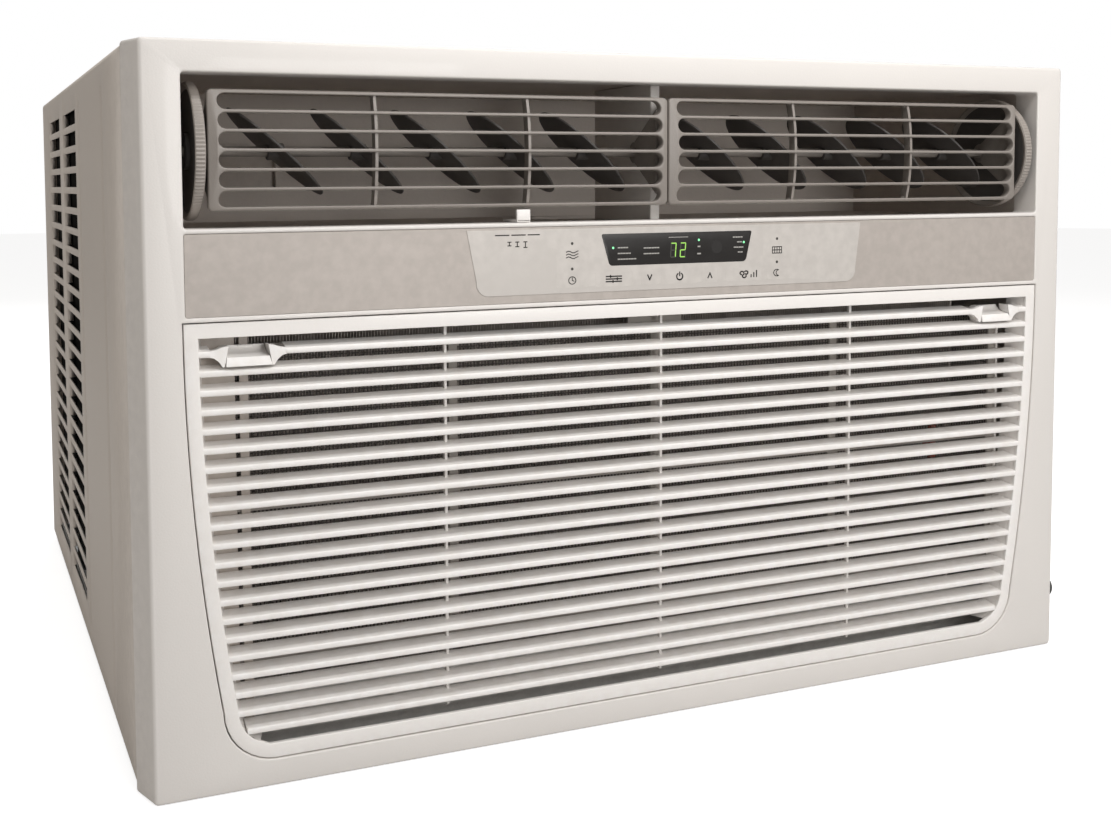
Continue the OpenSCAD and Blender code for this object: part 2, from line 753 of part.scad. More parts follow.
module motor_bracket() placed() color(metal_colour) {
    z0 = 8;
    difference() {
        union() {
            for (y = [246, 282]) span([fan_x - 50, y, z0], [fan_x + 50, y + 3, 160]);
            span([fan_x - 50, 249, z0], [fan_x + 50, 282, z0 + 3]);
        }
        rod_y(230, 300, fan_x, fan_z, 64);
    }
    for (x = [fan_x - 35, fan_x + 35], y = [246, 282])
        span([x - 3, y, 120], [x + 3, y + 3, 138.5]);
}

module motor_shaft() placed() color([0.75, 0.75, 0.77]) rod_y(140, 430, fan_x, fan_z, motor_shaft_r);

module condenser_fan() placed() color(dark_colour) {
    blades = 5;
    y0 = 396;
    difference() {
        rod_y(y0, y0 + 28, fan_x, fan_z, 26);
        rod_y(y0 - 1, y0 + 30, fan_x, fan_z, motor_shaft_r + 0.01);
    }
    difference() {
        rod_y(y0 + 4, y0 + 24, fan_x, fan_z, cond_fan_r);
        rod_y(y0 + 3, y0 + 25, fan_x, fan_z, cond_fan_r - 3);
    }
    for (i = [0:blades - 1])
        translate([fan_x, y0 + 14, fan_z]) rotate([0, i * 360 / blades, 0])
            translate([92, 0, 0]) rotate([-28, 0, 0]) cube([142, 2.4, 52], center = true);
}

module fan_shroud() placed() color(metal_colour) {
    difference() {
        union() {
            span([-326, 446, 10], [326, 447.5, 408]);
            rod_y(430, 446, fan_x, fan_z, cond_fan_r + 8);
        }
        rod_y(420, 450, fan_x, fan_z, cond_fan_r + 6);
        rod_y(440, 450, 215, 350, 6);
        rod_y(440, 450, -272, 62, 6);
    }
}

module condenser() placed() color(metal_colour) {
    x0 = -300;
    x1 = 296;
    span([x0, 536, 10], [x1, 580, 398]);
    for (x = [x0 - 1.5, x1]) span([x, 535.5, 10], [x + 1.5, 580.5, 399]);
    for (i = [0:13]) {
        translate([x1 + 1.5, 558, 26 + i * 26]) rotate([0, 90, 0]) rotate([0, 0, 180]) coil_return();
        translate([x0 - 1.5, 558, 39 + i * 26]) rotate([0, -90, 0]) coil_return();
    }
}

module compressor() placed() color([0.12, 0.12, 0.13]) {
    can_r = 70;
    z0 = 24;
    z1 = 268;
    translate([comp_x, comp_y, 0]) rotate_extrude($fn = 96) polygon(concat(
        [[0, z0]],
        arc(can_r - 18, z0 + 18, 18, -90, 0, 5),
        arc(can_r - 34, z1 - 34, 34, 0, 90, 8),
        [[0, z1]]));
    for (i = [0:2]) translate([comp_x, comp_y, 0]) rotate(i * 120 + 90) difference() {
        translate([52, -16, 22]) cube([48, 32, 3]);
        translate([88, 0, 20]) cylinder(h = 6, r = 6, $fn = 32);
    }
    rod_z(z1 - 1, z1 + 8, comp_x - 24, comp_y, 14);
}

module compressor_feet() placed() color([0.1, 0.1, 0.1])
    for (i = [0:2]) translate([comp_x, comp_y, 0]) rotate(i * 120 + 90) translate([88, 0, 7.6]) {
        cylinder(h = 14.3, r = 10, $fn = 32);
        cylinder(h = 21, r = 5.9, $fn = 32);
    }

module accumulator() placed() color([0.12, 0.12, 0.13]) {
    translate([acc_x, acc_y, 0]) rotate_extrude($fn = 64) polygon(concat(
        [[0, 70]], arc(26 - 14, 84, 14, -90, 0, 5), arc(26 - 14, 206, 14, 0, 90, 5), [[0, 220]]));
}

module refrigerant_lines() placed() color(copper_colour) {
    r = 5;
    turn = 15;
    // suction line from the evaporator to the accumulator
    rod_z(220.1, 250 - turn, acc_x, acc_y, r);
    bend([acc_x, acc_y - turn, 250 - turn], [90, 0, 90], turn, r);
    rod_y(88, acc_y - turn, acc_x, 250, r);
    // discharge line from the compressor to the condenser
    rod_z(276.1, 350 - turn, comp_x, comp_y, r);
    bend([comp_x, comp_y + turn, 350 - turn], [90, 0, -90], turn, r);
    rod_y(comp_y + turn, 535.4, comp_x, 350, r);
    // liquid line with its drier
    rod_y(87, 535.4, -272, 62, 3);
    rod_y(300, 380, -272, 62, 9);
}

// bush in the lower right side of the panel where the supply lead would leave
module cord_inlet() placed() color(dark_colour) difference() {
    union() {
        rod_x(323, 333.5, cord_y, cord_z, cord_bush_r);
        rod_x(320, 323, cord_y, cord_z, cord_bush_r + 1);
    }
    rod_x(319, 335, cord_y, cord_z, 5);
}

cabinet();
base_pan();
front_panel();
control_strip();
control_overlay();
display_window();
digit_display();
display_board();
intake_grille();
latch_left();
latch_right();
filter_frame();
filter_mesh();
louvre_left();
louvre_right();
vane_shaft_left();
vanes_left();
thumbwheel_left();
vane_shaft_right();
vanes_right();
thumbwheel_right();
outlet_duct();
outlet_post();
vent_lever();
vent_door();
key_mode();
key_down();
key_power();
key_up();
key_fan_speed();
key_clean_air();
key_timer();
key_filter_reset();
key_sleep();
control_box();
control_board();
run_capacitor();
room_sensor();
condensate_tray();
evaporator();
blower_scroll();
blower_wheel();
bulkhead();
fan_motor();
motor_bracket();
motor_shaft();
condenser_fan();
fan_shroud();
condenser();
compressor();
compressor_feet();
accumulator();
refrigerant_lines();
cord_inlet();
rear_guard();
cabinet_screws();
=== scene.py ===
import json
import math

import bmesh
import bpy
from mathutils import Matrix, Vector


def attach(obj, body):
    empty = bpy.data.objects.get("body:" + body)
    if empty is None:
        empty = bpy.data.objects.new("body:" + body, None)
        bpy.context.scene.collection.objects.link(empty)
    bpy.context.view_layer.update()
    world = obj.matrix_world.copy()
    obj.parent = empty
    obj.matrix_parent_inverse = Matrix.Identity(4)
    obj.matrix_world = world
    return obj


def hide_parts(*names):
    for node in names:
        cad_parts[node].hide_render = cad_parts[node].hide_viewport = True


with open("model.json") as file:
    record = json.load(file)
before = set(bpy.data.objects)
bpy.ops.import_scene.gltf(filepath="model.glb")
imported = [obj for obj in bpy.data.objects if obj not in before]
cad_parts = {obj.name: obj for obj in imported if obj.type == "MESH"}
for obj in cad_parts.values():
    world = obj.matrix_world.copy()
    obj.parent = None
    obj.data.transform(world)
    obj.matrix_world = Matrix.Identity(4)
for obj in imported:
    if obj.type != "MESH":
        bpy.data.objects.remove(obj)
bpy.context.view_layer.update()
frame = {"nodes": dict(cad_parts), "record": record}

# Working sizes are in millimetres, with the front face at y = 0 and the sill at z = 0.
MM = 0.001
Y_MIDDLE = 304.5
HALF_W = 334.0
FACE_HALF = 327.0
PANEL_D = 22.0
UNIT_H = 425.0
OUTLET_HALF = 305.0
OUTLET_Z = (321.0, 407.0)
STRIP_Z = (272.0, 318.3)
GRILLE_TOP = 268.6
GRILLE_LOW = 16.4
GRILLE_HALF = 306.0
GRILLE_TAPER = 18.0
GRILLE_R = 30.0
SLOT_TOP = 260.3
SLOT_PITCH = 10.87
SLOT_GAP = 7.25
SLOT_COUNT = 22
SLAT_H = SLOT_PITCH - SLOT_GAP
FIELD_INSET = 8.0
AXIS_Y = 37.0
AXIS_Z = 364.5
POST_X = 3.0
LOUVRE_HALF_H = 34.0
BOW_R = 128.0


# ---- camera
def set_camera():
    data = bpy.data.cameras.new("camera")
    camera = bpy.data.objects.new("camera", data)
    bpy.context.scene.collection.objects.link(camera)
    camera.location = (-0.4269, -1.0220, 0.3453)
    camera.rotation_euler = [math.radians(a) for a in (86.4357, 0.4141, -22.0152)]
    data.lens = 42.134
    data.sensor_width = 36.0
    data.shift_x = 0.0785
    data.shift_y = -0.1319
    data.clip_start = 0.05
    bpy.context.scene.camera = camera


set_camera()


# ---- node groups
COLOUR, NUMBER = "NodeSocketColor", "NodeSocketFloat"
PLAIN = (0.8, 0.8, 0.8, 1)


def new_group(name, inputs, outputs):
    """A node group. A tuple makes a colour input, and only the output named Color is a colour."""
    group = bpy.data.node_groups.new(name, "ShaderNodeTree")
    for label, value in inputs.items():
        kind = COLOUR if isinstance(value, tuple) else NUMBER
        socket = group.interface.new_socket(label, in_out="INPUT", socket_type=kind)
        socket.default_value = value
    for label in outputs:
        kind = COLOUR if label == "Color" else NUMBER
        group.interface.new_socket(label, in_out="OUTPUT", socket_type=kind)
    return group, group.nodes.new("NodeGroupInput").outputs, group.nodes.new("NodeGroupOutput").inputs


def add(tree, kind, **settings):
    node = tree.nodes.new(kind)
    for key, value in settings.items():
        setattr(node, key, value)
    return node


def feed(tree, socket, value):
    """Links a socket to another node's output, or sets it to a plain value."""
    if isinstance(value, bpy.types.NodeSocket):
        tree.links.new(value, socket)
    elif isinstance(value, tuple) and len(value) == 3 and socket.type == "RGBA":
        socket.default_value = value + (1,)
    else:
        socket.default_value = value


def object_place(tree):
    return add(tree, "ShaderNodeTexCoord").outputs["Object"]


def noise(tree, scale, detail, stretch=None):
    """Cloudy noise over the piece's own coordinates."""
    place = object_place(tree)
    if stretch:
        mapping = add(tree, "ShaderNodeMapping")
        mapping.inputs["Scale"].default_value = stretch
        tree.links.new(place, mapping.inputs["Vector"])
        place = mapping.outputs["Vector"]
    node = add(tree, "ShaderNodeTexNoise")
    for label, value in (("Vector", place), ("Scale", scale), ("Detail", detail)):
        feed(tree, node.inputs[label], value)
    return node.outputs["Fac"]


def maths(tree, operation, *values):
    node = add(tree, "ShaderNodeMath", operation=operation)
    for socket, value in zip(node.inputs, values):
        feed(tree, socket, value)
    return node.outputs["Value"]


def centred(tree, value):
    return maths(tree, "SUBTRACT", value, 0.5)


def spread(tree, value, low, high, to_low=0.0, to_high=1.0):
    """Maps low to high onto another range, and keeps within it."""
    node = add(tree, "ShaderNodeMapRange")
    given = {"Value": value, "From Min": low, "From Max": high, "To Min": to_low, "To Max": to_high}
    for label, one in given.items():
        feed(tree, node.inputs[label], one)
    return node.outputs["Result"]


def blend(tree, amount, a, b, mode="MIX"):
    node = add(tree, "ShaderNodeMix", data_type="RGBA", blend_type=mode)
    colours = [s for s in node.inputs if s.type == "RGBA"]
    for socket, value in zip([node.inputs["Factor"]] + colours, (amount, a, b)):
        feed(tree, socket, value)
    return [s for s in node.outputs if s.type == "RGBA"][0]


def tint(tree, colour, shade):
    """A colour made lighter or darker by a factor."""
    grey = add(tree, "ShaderNodeCombineColor")
    for socket in grey.inputs:
        tree.links.new(shade, socket)
    return blend(tree, 1.0, colour, grey.outputs["Color"], "MULTIPLY")


def give(tree, result, **values):
    for label, value in values.items():
        tree.links.new(value, result[label])
    return tree


def skin_group():
    """Soft tone drift, a fine moulded grain and an uneven gloss, over the whole surface."""
    tree, given, result = new_group(
        "surface_skin", {"Color": PLAIN, "Tone": 0.05, "Roughness": 0.45, "Grain Scale": 900.0},
        ("Color", "Roughness", "Height"))
    speck = noise(tree, given["Grain Scale"], 2.0)
    drift = maths(tree, "MULTIPLY", centred(tree, noise(tree, 7.0, 4.0)), given["Tone"])
    fleck = maths(tree, "MULTIPLY", centred(tree, speck), maths(tree, "MULTIPLY", given["Tone"], 0.6))
    shade = maths(tree, "ADD", maths(tree, "ADD", drift, fleck), 1.0)
    rough = maths(tree, "ADD", maths(tree, "MULTIPLY", drift, 2.0), given["Roughness"])
    return give(tree, result, Color=tint(tree, given["Color"], shade), Roughness=rough, Height=speck)


def edge_group():
    """Lightens worn corners, from how sharply the surface turns."""
    tree, given, result = new_group(
        "edge_wear", {"Color": PLAIN, "Edge Color": (0.9, 0.9, 0.9, 1), "Amount": 0.5}, ("Color", "Mask"))
    turn = add(tree, "ShaderNodeNewGeometry").outputs["Pointiness"]
    worn = spread(tree, turn, 0.52, 0.62)
    broken = spread(tree, noise(tree, 160.0, 4.0), 0.35, 0.7)
    mask = maths(tree, "MULTIPLY", maths(tree, "MULTIPLY", worn, broken), given["Amount"])
    return give(tree, result, Color=blend(tree, mask, given["Color"], given["Edge Color"]), Mask=mask)


def dust_group():
    """Dust that settles on faces that look up."""
    tree, given, result = new_group(
        "settled_dust", {"Color": PLAIN, "Dust Color": (0.42, 0.38, 0.33, 1), "Amount": 0.3},
        ("Color", "Mask"))
    split = add(tree, "ShaderNodeSeparateXYZ")
    tree.links.new(add(tree, "ShaderNodeNewGeometry").outputs["Normal"], split.inputs["Vector"])
    facing_up = spread(tree, split.outputs["Z"], 0.2, 0.95)
    patch = spread(tree, noise(tree, 30.0, 5.0), 0.3, 0.75)
    mask = maths(tree, "MULTIPLY", maths(tree, "MULTIPLY", facing_up, patch), given["Amount"])
    return give(tree, result, Color=blend(tree, mask, given["Color"], given["Dust Color"]), Mask=mask)


def metal_group():
    """Rolled or drawn metal: long streaks in the gloss and a mottled crystal tone."""
    tree, given, result = new_group(
        "rolled_metal", {"Color": (0.6, 0.6, 0.6, 1), "Mottle": 0.25, "Roughness": 0.35},
        ("Color", "Roughness", "Height"))
    crystal = add(tree, "ShaderNodeTexVoronoi", feature="F1")
    crystal.inputs["Scale"].default_value = 85.0
    tree.links.new(object_place(tree), crystal.inputs["Vector"])
    cell = add(tree, "ShaderNodeSeparateColor")
    tree.links.new(crystal.outputs["Color"], cell.inputs["Color"])
    streak = noise(tree, 40.0, 4.0, stretch=(0.3, 1.0, 14.0))
    tone = maths(tree, "MULTIPLY_ADD", centred(tree, cell.outputs["Red"]), given["Mottle"], 1.0)
    rough = maths(tree, "MULTIPLY_ADD", centred(tree, streak), 0.3, given["Roughness"])
    return give(tree, result, Color=tint(tree, given["Color"], tone), Roughness=rough, Height=streak)


def weave_group():
    """Square net of threads across x and z."""
    tree, given, result = new_group("net_weave", {"Threads": 420.0}, ("Mask",))
    split = add(tree, "ShaderNodeSeparateXYZ")
    tree.links.new(object_place(tree), split.inputs["Vector"])
    lines = []
    for axis in ("X", "Z"):
        phase = maths(tree, "MULTIPLY", split.outputs[axis], given["Threads"])
        wave = maths(tree, "ABSOLUTE", centred(tree, maths(tree, "FRACT", phase)))
        lines.append(spread(tree, wave, 0.28, 0.40))
    return give(tree, result, Mask=maths(tree, "MAXIMUM", *lines))


SKIN = skin_group()
EDGE = edge_group()
DUST = dust_group()
METAL = metal_group()
WEAVE = weave_group()


# ---- materials
def place_group(tree, group, **values):
    node = add(tree, "ShaderNodeGroup", node_tree=group)
    for label, value in values.items():
        feed(tree, node.inputs[label.replace("_", " ")], value)
    return node.outputs


def finish_of(name, colour, rough, skin=SKIN, tone=0.06, grain=900.0, depth=0.03, edge=0.35, dust=0.1,
              metallic=0.0, mottle=0.25, coat=0.0, specular=0.5):
    material = bpy.data.materials.new(name)
    material.use_nodes = True
    tree = material.node_tree
    shader = tree.nodes["Principled BSDF"].inputs
    shader["Metallic"].default_value = metallic
    shader["Coat Weight"].default_value = coat
    shader["Specular IOR Level"].default_value = specular
    if skin is METAL:
        base = place_group(tree, METAL, Color=colour, Mottle=mottle, Roughness=rough)
    else:
        base = place_group(tree, SKIN, Color=colour, Tone=tone, Roughness=rough, Grain_Scale=grain)
    lighter = tuple(min(1.0, c * 1.25 + 0.03) for c in colour)
    worn = place_group(tree, EDGE, Color=base["Color"], Edge_Color=lighter, Amount=edge)
    dusty = place_group(tree, DUST, Color=worn["Color"], Amount=dust)
    tree.links.new(dusty["Color"], shader["Base Color"])
    tree.links.new(maths(tree, "MULTIPLY_ADD", dusty["Mask"], 0.35, base["Roughness"]), shader["Roughness"])
    bump = add(tree, "ShaderNodeBump")
    bump.inputs["Strength"].default_value = depth * 10
    bump.inputs["Distance"].default_value = 0.0002
    tree.links.new(base["Height"], bump.inputs["Height"])
    tree.links.new(bump.outputs["Normal"], shader["Normal"])
    return material


def glowing(name, colour, strength):
    material = finish_of(name, tuple(c * 0.3 for c in colour), 0.4, edge=0.0, dust=0.0)
    shader = material.node_tree.nodes["Principled BSDF"].inputs
    shader["Emission Color"].default_value = colour + (1,)
    shader["Emission Strength"].default_value = strength
    return material


SMOOTH_PANEL = {"tone": 0.012, "grain": 1600.0, "depth": 0.006, "metallic": 0.1}
# Each slot's colour and roughness, then what differs from the plain finish.
LOOKS = {
    "white_moulding": ((0.745, 0.71, 0.675), 0.42, {"coat": 0.08}),
    "grille_white": ((0.86, 0.825, 0.79), 0.40, {"coat": 0.08}),
    "strip_grey": ((0.44, 0.395, 0.36), 0.45, SMOOTH_PANEL),
    "overlay_grey": ((0.54, 0.505, 0.47), 0.45, SMOOTH_PANEL),
    "key_grey": ((0.54, 0.505, 0.47), 0.45, SMOOTH_PANEL),
    "display_black": ((0.018, 0.016, 0.015), 0.34,
                      {"tone": 0.2, "depth": 0.0, "dust": 0.02, "specular": 0.3}),
    "louvre_grey": ((0.26, 0.232, 0.208), 0.42, {}),
    "vane_dark": ((0.085, 0.078, 0.074), 0.50, {"dust": 0.25}),
    "wheel_grey": ((0.33, 0.295, 0.265), 0.45, {"dust": 0.15}),
    "duct_grey": ((0.60, 0.54, 0.49), 0.62, {"grain": 500.0, "depth": 0.08, "tone": 0.12, "dust": 0.2}),
    "cabinet_paint": ((0.66, 0.605, 0.55), 0.46, {"grain": 650.0, "depth": 0.07}),
    "zinc_sheet": ((0.60, 0.61, 0.61), 0.38, {"skin": METAL, "metallic": 0.9, "mottle": 0.35, "dust": 0.15}),
    "coil_fin": ((0.62, 0.57, 0.53), 0.5, {"skin": METAL, "metallic": 0.3, "mottle": 0.15, "dust": 0.25}),
    "filter_plastic": ((0.36, 0.33, 0.30), 0.5, {}),
    "foam_white": ((0.78, 0.77, 0.75), 0.8, {"grain": 260.0, "depth": 0.3, "tone": 0.1}),
    "board_green": ((0.03, 0.14, 0.06), 0.35, {"tone": 0.2, "grain": 400.0}),
    "fan_black": ((0.028, 0.028, 0.030), 0.45, {"dust": 0.3}),
    "motor_black": ((0.035, 0.036, 0.040), 0.32, {"dust": 0.3, "coat": 0.3}),
    "shaft_steel": ((0.60, 0.60, 0.61), 0.25, {"skin": METAL, "metallic": 1.0, "mottle": 0.05, "dust": 0.05}),
    "copper_tube": ((0.72, 0.36, 0.21), 0.28, {"skin": METAL, "metallic": 1.0, "mottle": 0.2, "dust": 0.1}),
    "rubber_black": ((0.022, 0.022, 0.023), 0.75, {"depth": 0.12, "dust": 0.15}),
    "guard_wire": ((0.045, 0.045, 0.047), 0.42, {"dust": 0.2}),
    "sensor_red": ((0.45, 0.09, 0.05), 0.3, {"coat": 0.4}),
}
FINISH = {slot: finish_of(slot, colour, rough, **more) for slot, (colour, rough, more) in LOOKS.items()}
FINISH["display_green"] = glowing("display_green", (0.40, 0.80, 0.14), 0.75)
INK = finish_of("printed_ink", (0.03, 0.027, 0.026), 0.6, edge=0.0, dust=0.0, specular=0.2)
PALE_INK = finish_of("pale_ink", (0.40, 0.385, 0.36), 0.5, edge=0.0, dust=0.0)
LAMP_OFF = finish_of("lamp_dark", (0.05, 0.045, 0.04), 0.3, edge=0.0, dust=0.0)
LAMP_ON = glowing("lamp_lit", (0.25, 0.85, 0.40), 1.3)
LAMP_GHOST = finish_of("unlit_figure", (0.05, 0.052, 0.04), 0.5, edge=0.0, dust=0.0)
# Near-black sheet colour: painted shade placed behind the side louvre holes.
SHADE_SHEET = finish_of("painted_shade_sheet", (0.008, 0.0075, 0.007), 0.9, edge=0.0, dust=0.02, specular=0.05)
HOLLOW = finish_of("hollow_dark", (0.02, 0.018, 0.017), 0.8, edge=0.0)


def net_material():
    material = finish_of("filter_net", (0.085, 0.07, 0.062), 0.6)
    tree = material.node_tree
    net = place_group(tree, WEAVE, Threads=420.0)
    see_through = spread(tree, net["Mask"], 0.0, 1.0, 0.02, 0.45)
    tree.links.new(see_through, tree.nodes["Principled BSDF"].inputs["Alpha"])
    return material


FINISH["filter_net"] = net_material()


# ---- shape helpers
def arc(cx, cz, r, a0, a1, steps):
    """Points on an arc in x and z, from angle a0 to angle a1 in degrees."""
    angles = [math.radians(a0 + (a1 - a0) * i / steps) for i in range(steps + 1)]
    return [(cx + r * math.cos(a), cz + r * math.sin(a)) for a in angles]


def rounded(x0, x1, z0, z1, r, steps=6):
    """Outline of a rectangle with round corners, which grows outwards by g."""
    corners = ((x1 - r, z1 - r, 0), (x0 + r, z1 - r, 90), (x0 + r, z0 + r, 180), (x1 - r, z0 + r, 270))
    return lambda g=0.0: [point for cx, cz, a in corners for point in arc(cx, cz, r + g, a, a + 90, steps)]


def both_sides(edge):
    """Closes an outline of the right side with its mirror image."""
    return edge + [(-x, z) for x, z in reversed(edge)]


def rounding(r, steps=3):
    """How far in and how far back each step of a rounded front edge lies."""
    angles = [math.radians(90 * i / steps) for i in range(steps + 1)]
    return [(r * (1 - math.sin(a)), r * (1 - math.cos(a))) for a in angles]


def new_verts(made):
    return [part for part in made["geom"] if isinstance(part, bmesh.types.BMVert)]


def new_edges(made):
    """The far edges of a strip of faces that was just extruded."""
    verts = set(new_verts(made))
    edges = [part for part in made["geom"] if isinstance(part, bmesh.types.BMEdge)]
    return [e for e in edges if verts.issuperset(e.verts)]


def tunnel(bm, stations):
    """Walls that run through a row of matching outlines in x and z, each at its own depth y."""
    spot = lambda v: tuple(round(c, 3) for c in v.co)
    points, y = stations[0]
    verts = [bm.verts.new((x, y, z)) for x, z in points]
    first = edges = [bm.edges.new((verts[i - 1], verts[i])) for i in range(len(verts))]
    places = {spot(v): i for i, v in enumerate(verts)}
    for points, y in stations[1:]:
        made = bmesh.ops.extrude_edge_only(bm, edges=edges)
        edges = new_edges(made)
        moved = {}
        for v in new_verts(made):
            i = places[spot(v)]
            v.co = (points[i][0], y, points[i][1])
            moved[spot(v)] = i
        places = moved
    return first, edges


def loft(bm, outline, y0, y1, r_front, r_back, hole, steps=3):
    """Walls of one outline from the front face back, with both its edges rounded."""
    sign = 1 if hole else -1
    stations = [(outline(sign * inset), y0 + back) for inset, back in rounding(r_front, steps)]
    stations += [(outline(sign * inset), y1 - back) for inset, back in reversed(rounding(r_back, steps))]
    return tunnel(bm, stations)


def fill(bm, edges):
    bmesh.ops.triangle_fill(bm, use_beauty=True, use_dissolve=False, edges=edges)


def plate(bm, outer, holes, y0, y1, r=0.5, r_hole=None, r_back=0.3, steps=3):
    """A flat plate with holes, drawn in x and z, with rounded edges."""
    r_hole = r if r_hole is None else r_hole
    ends = [loft(bm, outer, y0, y1, r, r_back, False, steps)]
    ends += [loft(bm, hole, y0, y1, r_hole, r_back, True, steps) for hole in holes]
    fill(bm, [e for front, _ in ends for e in front])
    fill(bm, [e for _, back in ends for e in back])


def slab(bm, outline, x0, x1):
    """A solid with its outline drawn in y and z, from x0 to x1."""
    face = bm.faces.new([bm.verts.new((x0, y, z)) for y, z in outline])
    far = new_verts(bmesh.ops.extrude_face_region(bm, geom=[face]))
    bmesh.ops.translate(bm, vec=(x1 - x0, 0, 0), verts=far)


def block(bm, lo, hi, r=0.0, segments=2):
    """A box from its lowest to its highest corner, with its edges bevelled."""
    lo, hi = Vector(lo), Vector(hi)
    size = hi - lo
    place = Matrix.Translation((lo + hi) / 2) @ Matrix.Diagonal((size.x, size.y, size.z, 1))
    made = bmesh.ops.create_cube(bm, size=1.0, matrix=place)["verts"]
    if r:
        edges = list({e for v in made for e in v.link_edges})
        bmesh.ops.bevel(bm, geom=edges, offset=r, affect="EDGES", segments=segments, profile=0.5, material=-1)


def side_block(bm, side, xs, ys, zs, r):
    """A box on the left, where side is -1, or on the right, where it is 1."""
    x0, x1 = sorted(side * x for x in xs)
    block(bm, (x0, ys[0], zs[0]), (x1, ys[1], zs[1]), r)


def rod(bm, start, end, r, sides=24, bevel=0.0):
    start, end = Vector(start), Vector(end)
    along = end - start
    place = Matrix.Translation((start + end) / 2) @ along.to_track_quat("Z", "Y").to_matrix().to_4x4()
    made = bmesh.ops.create_cone(bm, cap_ends=True, segments=sides, radius1=r, radius2=r,
                                 depth=along.length, matrix=place)["verts"]
    if bevel:
        edges = {e for v in made for e in v.link_edges}
        caps = [e for e in edges if any(len(f.verts) > 4 for f in e.link_faces)]
        bmesh.ops.bevel(bm, geom=caps, offset=bevel, affect="EDGES", segments=2, profile=0.5, material=-1)


def piece(name, bm, body, nodes, slot, material=None, sharp=40.0, turned_in=True):
    """Turns a bmesh in millimetres into a finished piece that rides on its body."""
    bmesh.ops.remove_doubles(bm, verts=bm.verts, dist=0.0005)
    if turned_in:
        bmesh.ops.recalc_face_normals(bm, faces=bm.faces)
    to_frame = Matrix.Scale(MM, 4) @ Matrix.Translation((0, -Y_MIDDLE, 0))
    bmesh.ops.transform(bm, matrix=to_frame, verts=bm.verts)
    for face in bm.faces:
        face.smooth = True
    mesh = bpy.data.meshes.new(name)
    bm.to_mesh(mesh)
    bm.free()
    mesh.set_sharp_from_angle(angle=math.radians(sharp))
    made = bpy.data.objects.new(name, mesh)
    bpy.context.scene.collection.objects.link(made)
    materials = material if isinstance(material, list) else [material or FINISH[slot]]
    for one in materials:
        mesh.materials.append(one)
    if nodes:
        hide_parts(*nodes)
    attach(made, body)
    return made


# ---- cabinet
COVER_BACK = 609.4
COVER_TOP = 424.5
HALF_SHEET = 0.6
CLOSE = 0.01
SWAGES = (119.0, 263.0, 544.0)
SWAGE_ENDS = (18, 21, 405, 408)
SWAGE_DEPTH = 2.6
COLUMNS = ((288, 394), (426, 532))
HOLE_H = 10.6
HOLE_TOPS = [402 - 15.7 * row for row in range(24)]
ROWS = [340 + 24 * i for i in range(10)]
ROW_DEEP = 9
ROW_X = (22, 262)
RAIL_HOLE_X = (-300, -100, 100, 300)
RAIL_HOLE_Y = 205


def cut_across(bm, axis, places, near):
    """Cuts the faces that pass the test with planes square to one axis."""
    for place in places:
        faces = [f for f in bm.faces if near(f.calc_center_median())]
        parts = faces + list({e for f in faces for e in f.edges}) + list({v for f in faces for v in f.verts})
        at = Vector([place if i == axis else 0 for i in range(3)])
        way = Vector([1.0 if i == axis else 0.0 for i in range(3)])
        bmesh.ops.bisect_plane(bm, geom=parts, dist=0.0001, plane_co=at, plane_no=way)


def cut_out(bm, wanted):
    holes = [f for f in bm.faces if wanted(f.calc_center_median())]
    bmesh.ops.delete(bm, geom=holes, context="FACES")


def turn_lips(bm, wanted):
    """Extrudes the open edges that pass the test, and gives back their new points."""
    lips = [e for e in bm.edges if e.is_boundary and all(wanted(v.co) for v in e.verts)]
    return new_verts(bmesh.ops.extrude_edge_only(bm, edges=lips))


def press_swages(bm, on_side):
    """Three upright lines pressed into each side."""
    levels = [y + d for y in SWAGES for d in (-6, -2, 2, 6)] + [y for ends in COLUMNS for y in ends]
    cut_across(bm, 1, levels, on_side)
    cut_across(bm, 2, SWAGE_ENDS, lambda c: on_side(c) and any(abs(c.y - y) < 6 for y in SWAGES))
    low, high = SWAGE_ENDS[1] - 0.1, SWAGE_ENDS[2] + 0.1
    for v in bm.verts:
        if on_side(v.co) and low < v.co.z < high and any(abs(v.co.y - y) < 2.1 for y in SWAGES):
            v.co.x -= math.copysign(SWAGE_DEPTH, v.co.x)


def cut_side_holes(bm, on_side):
    """Two columns of louvre holes on each side, each with a lip at its rear end."""
    in_column = lambda c: on_side(c) and any(y0 < c.y < y1 for y0, y1 in COLUMNS)
    cut_across(bm, 2, [z for top in HOLE_TOPS for z in (top, top - HOLE_H)], in_column)
    cut_out(bm, lambda c: in_column(c) and any(top - HOLE_H < c.z < top for top in HOLE_TOPS))
    for v in turn_lips(bm, lambda c: on_side(c) and any(abs(c.y - y1) < CLOSE for _, y1 in COLUMNS)):
        v.co.x -= math.copysign(4.0, v.co.x)
        v.co.y += 0.6


def cut_top_rows(bm, on_top):
    """Two blocks of louvre rows in the top, each row with a lip at its back."""
    near, far = ROW_X
    cut_across(bm, 0, (-far, -near, near, far), on_top)
    in_rows = lambda c: on_top(c) and near < abs(c.x) < far
    cut_across(bm, 1, [y for row in ROWS for y in (row, row + ROW_DEEP)], in_rows)
    cut_out(bm, lambda c: in_rows(c) and any(row < c.y < row + ROW_DEEP for row in ROWS))
    for v in turn_lips(bm, lambda c: on_top(c) and any(abs(c.y - row - ROW_DEEP) < CLOSE for row in ROWS)):
        v.co.z -= 3.0
        v.co.y -= 2.0


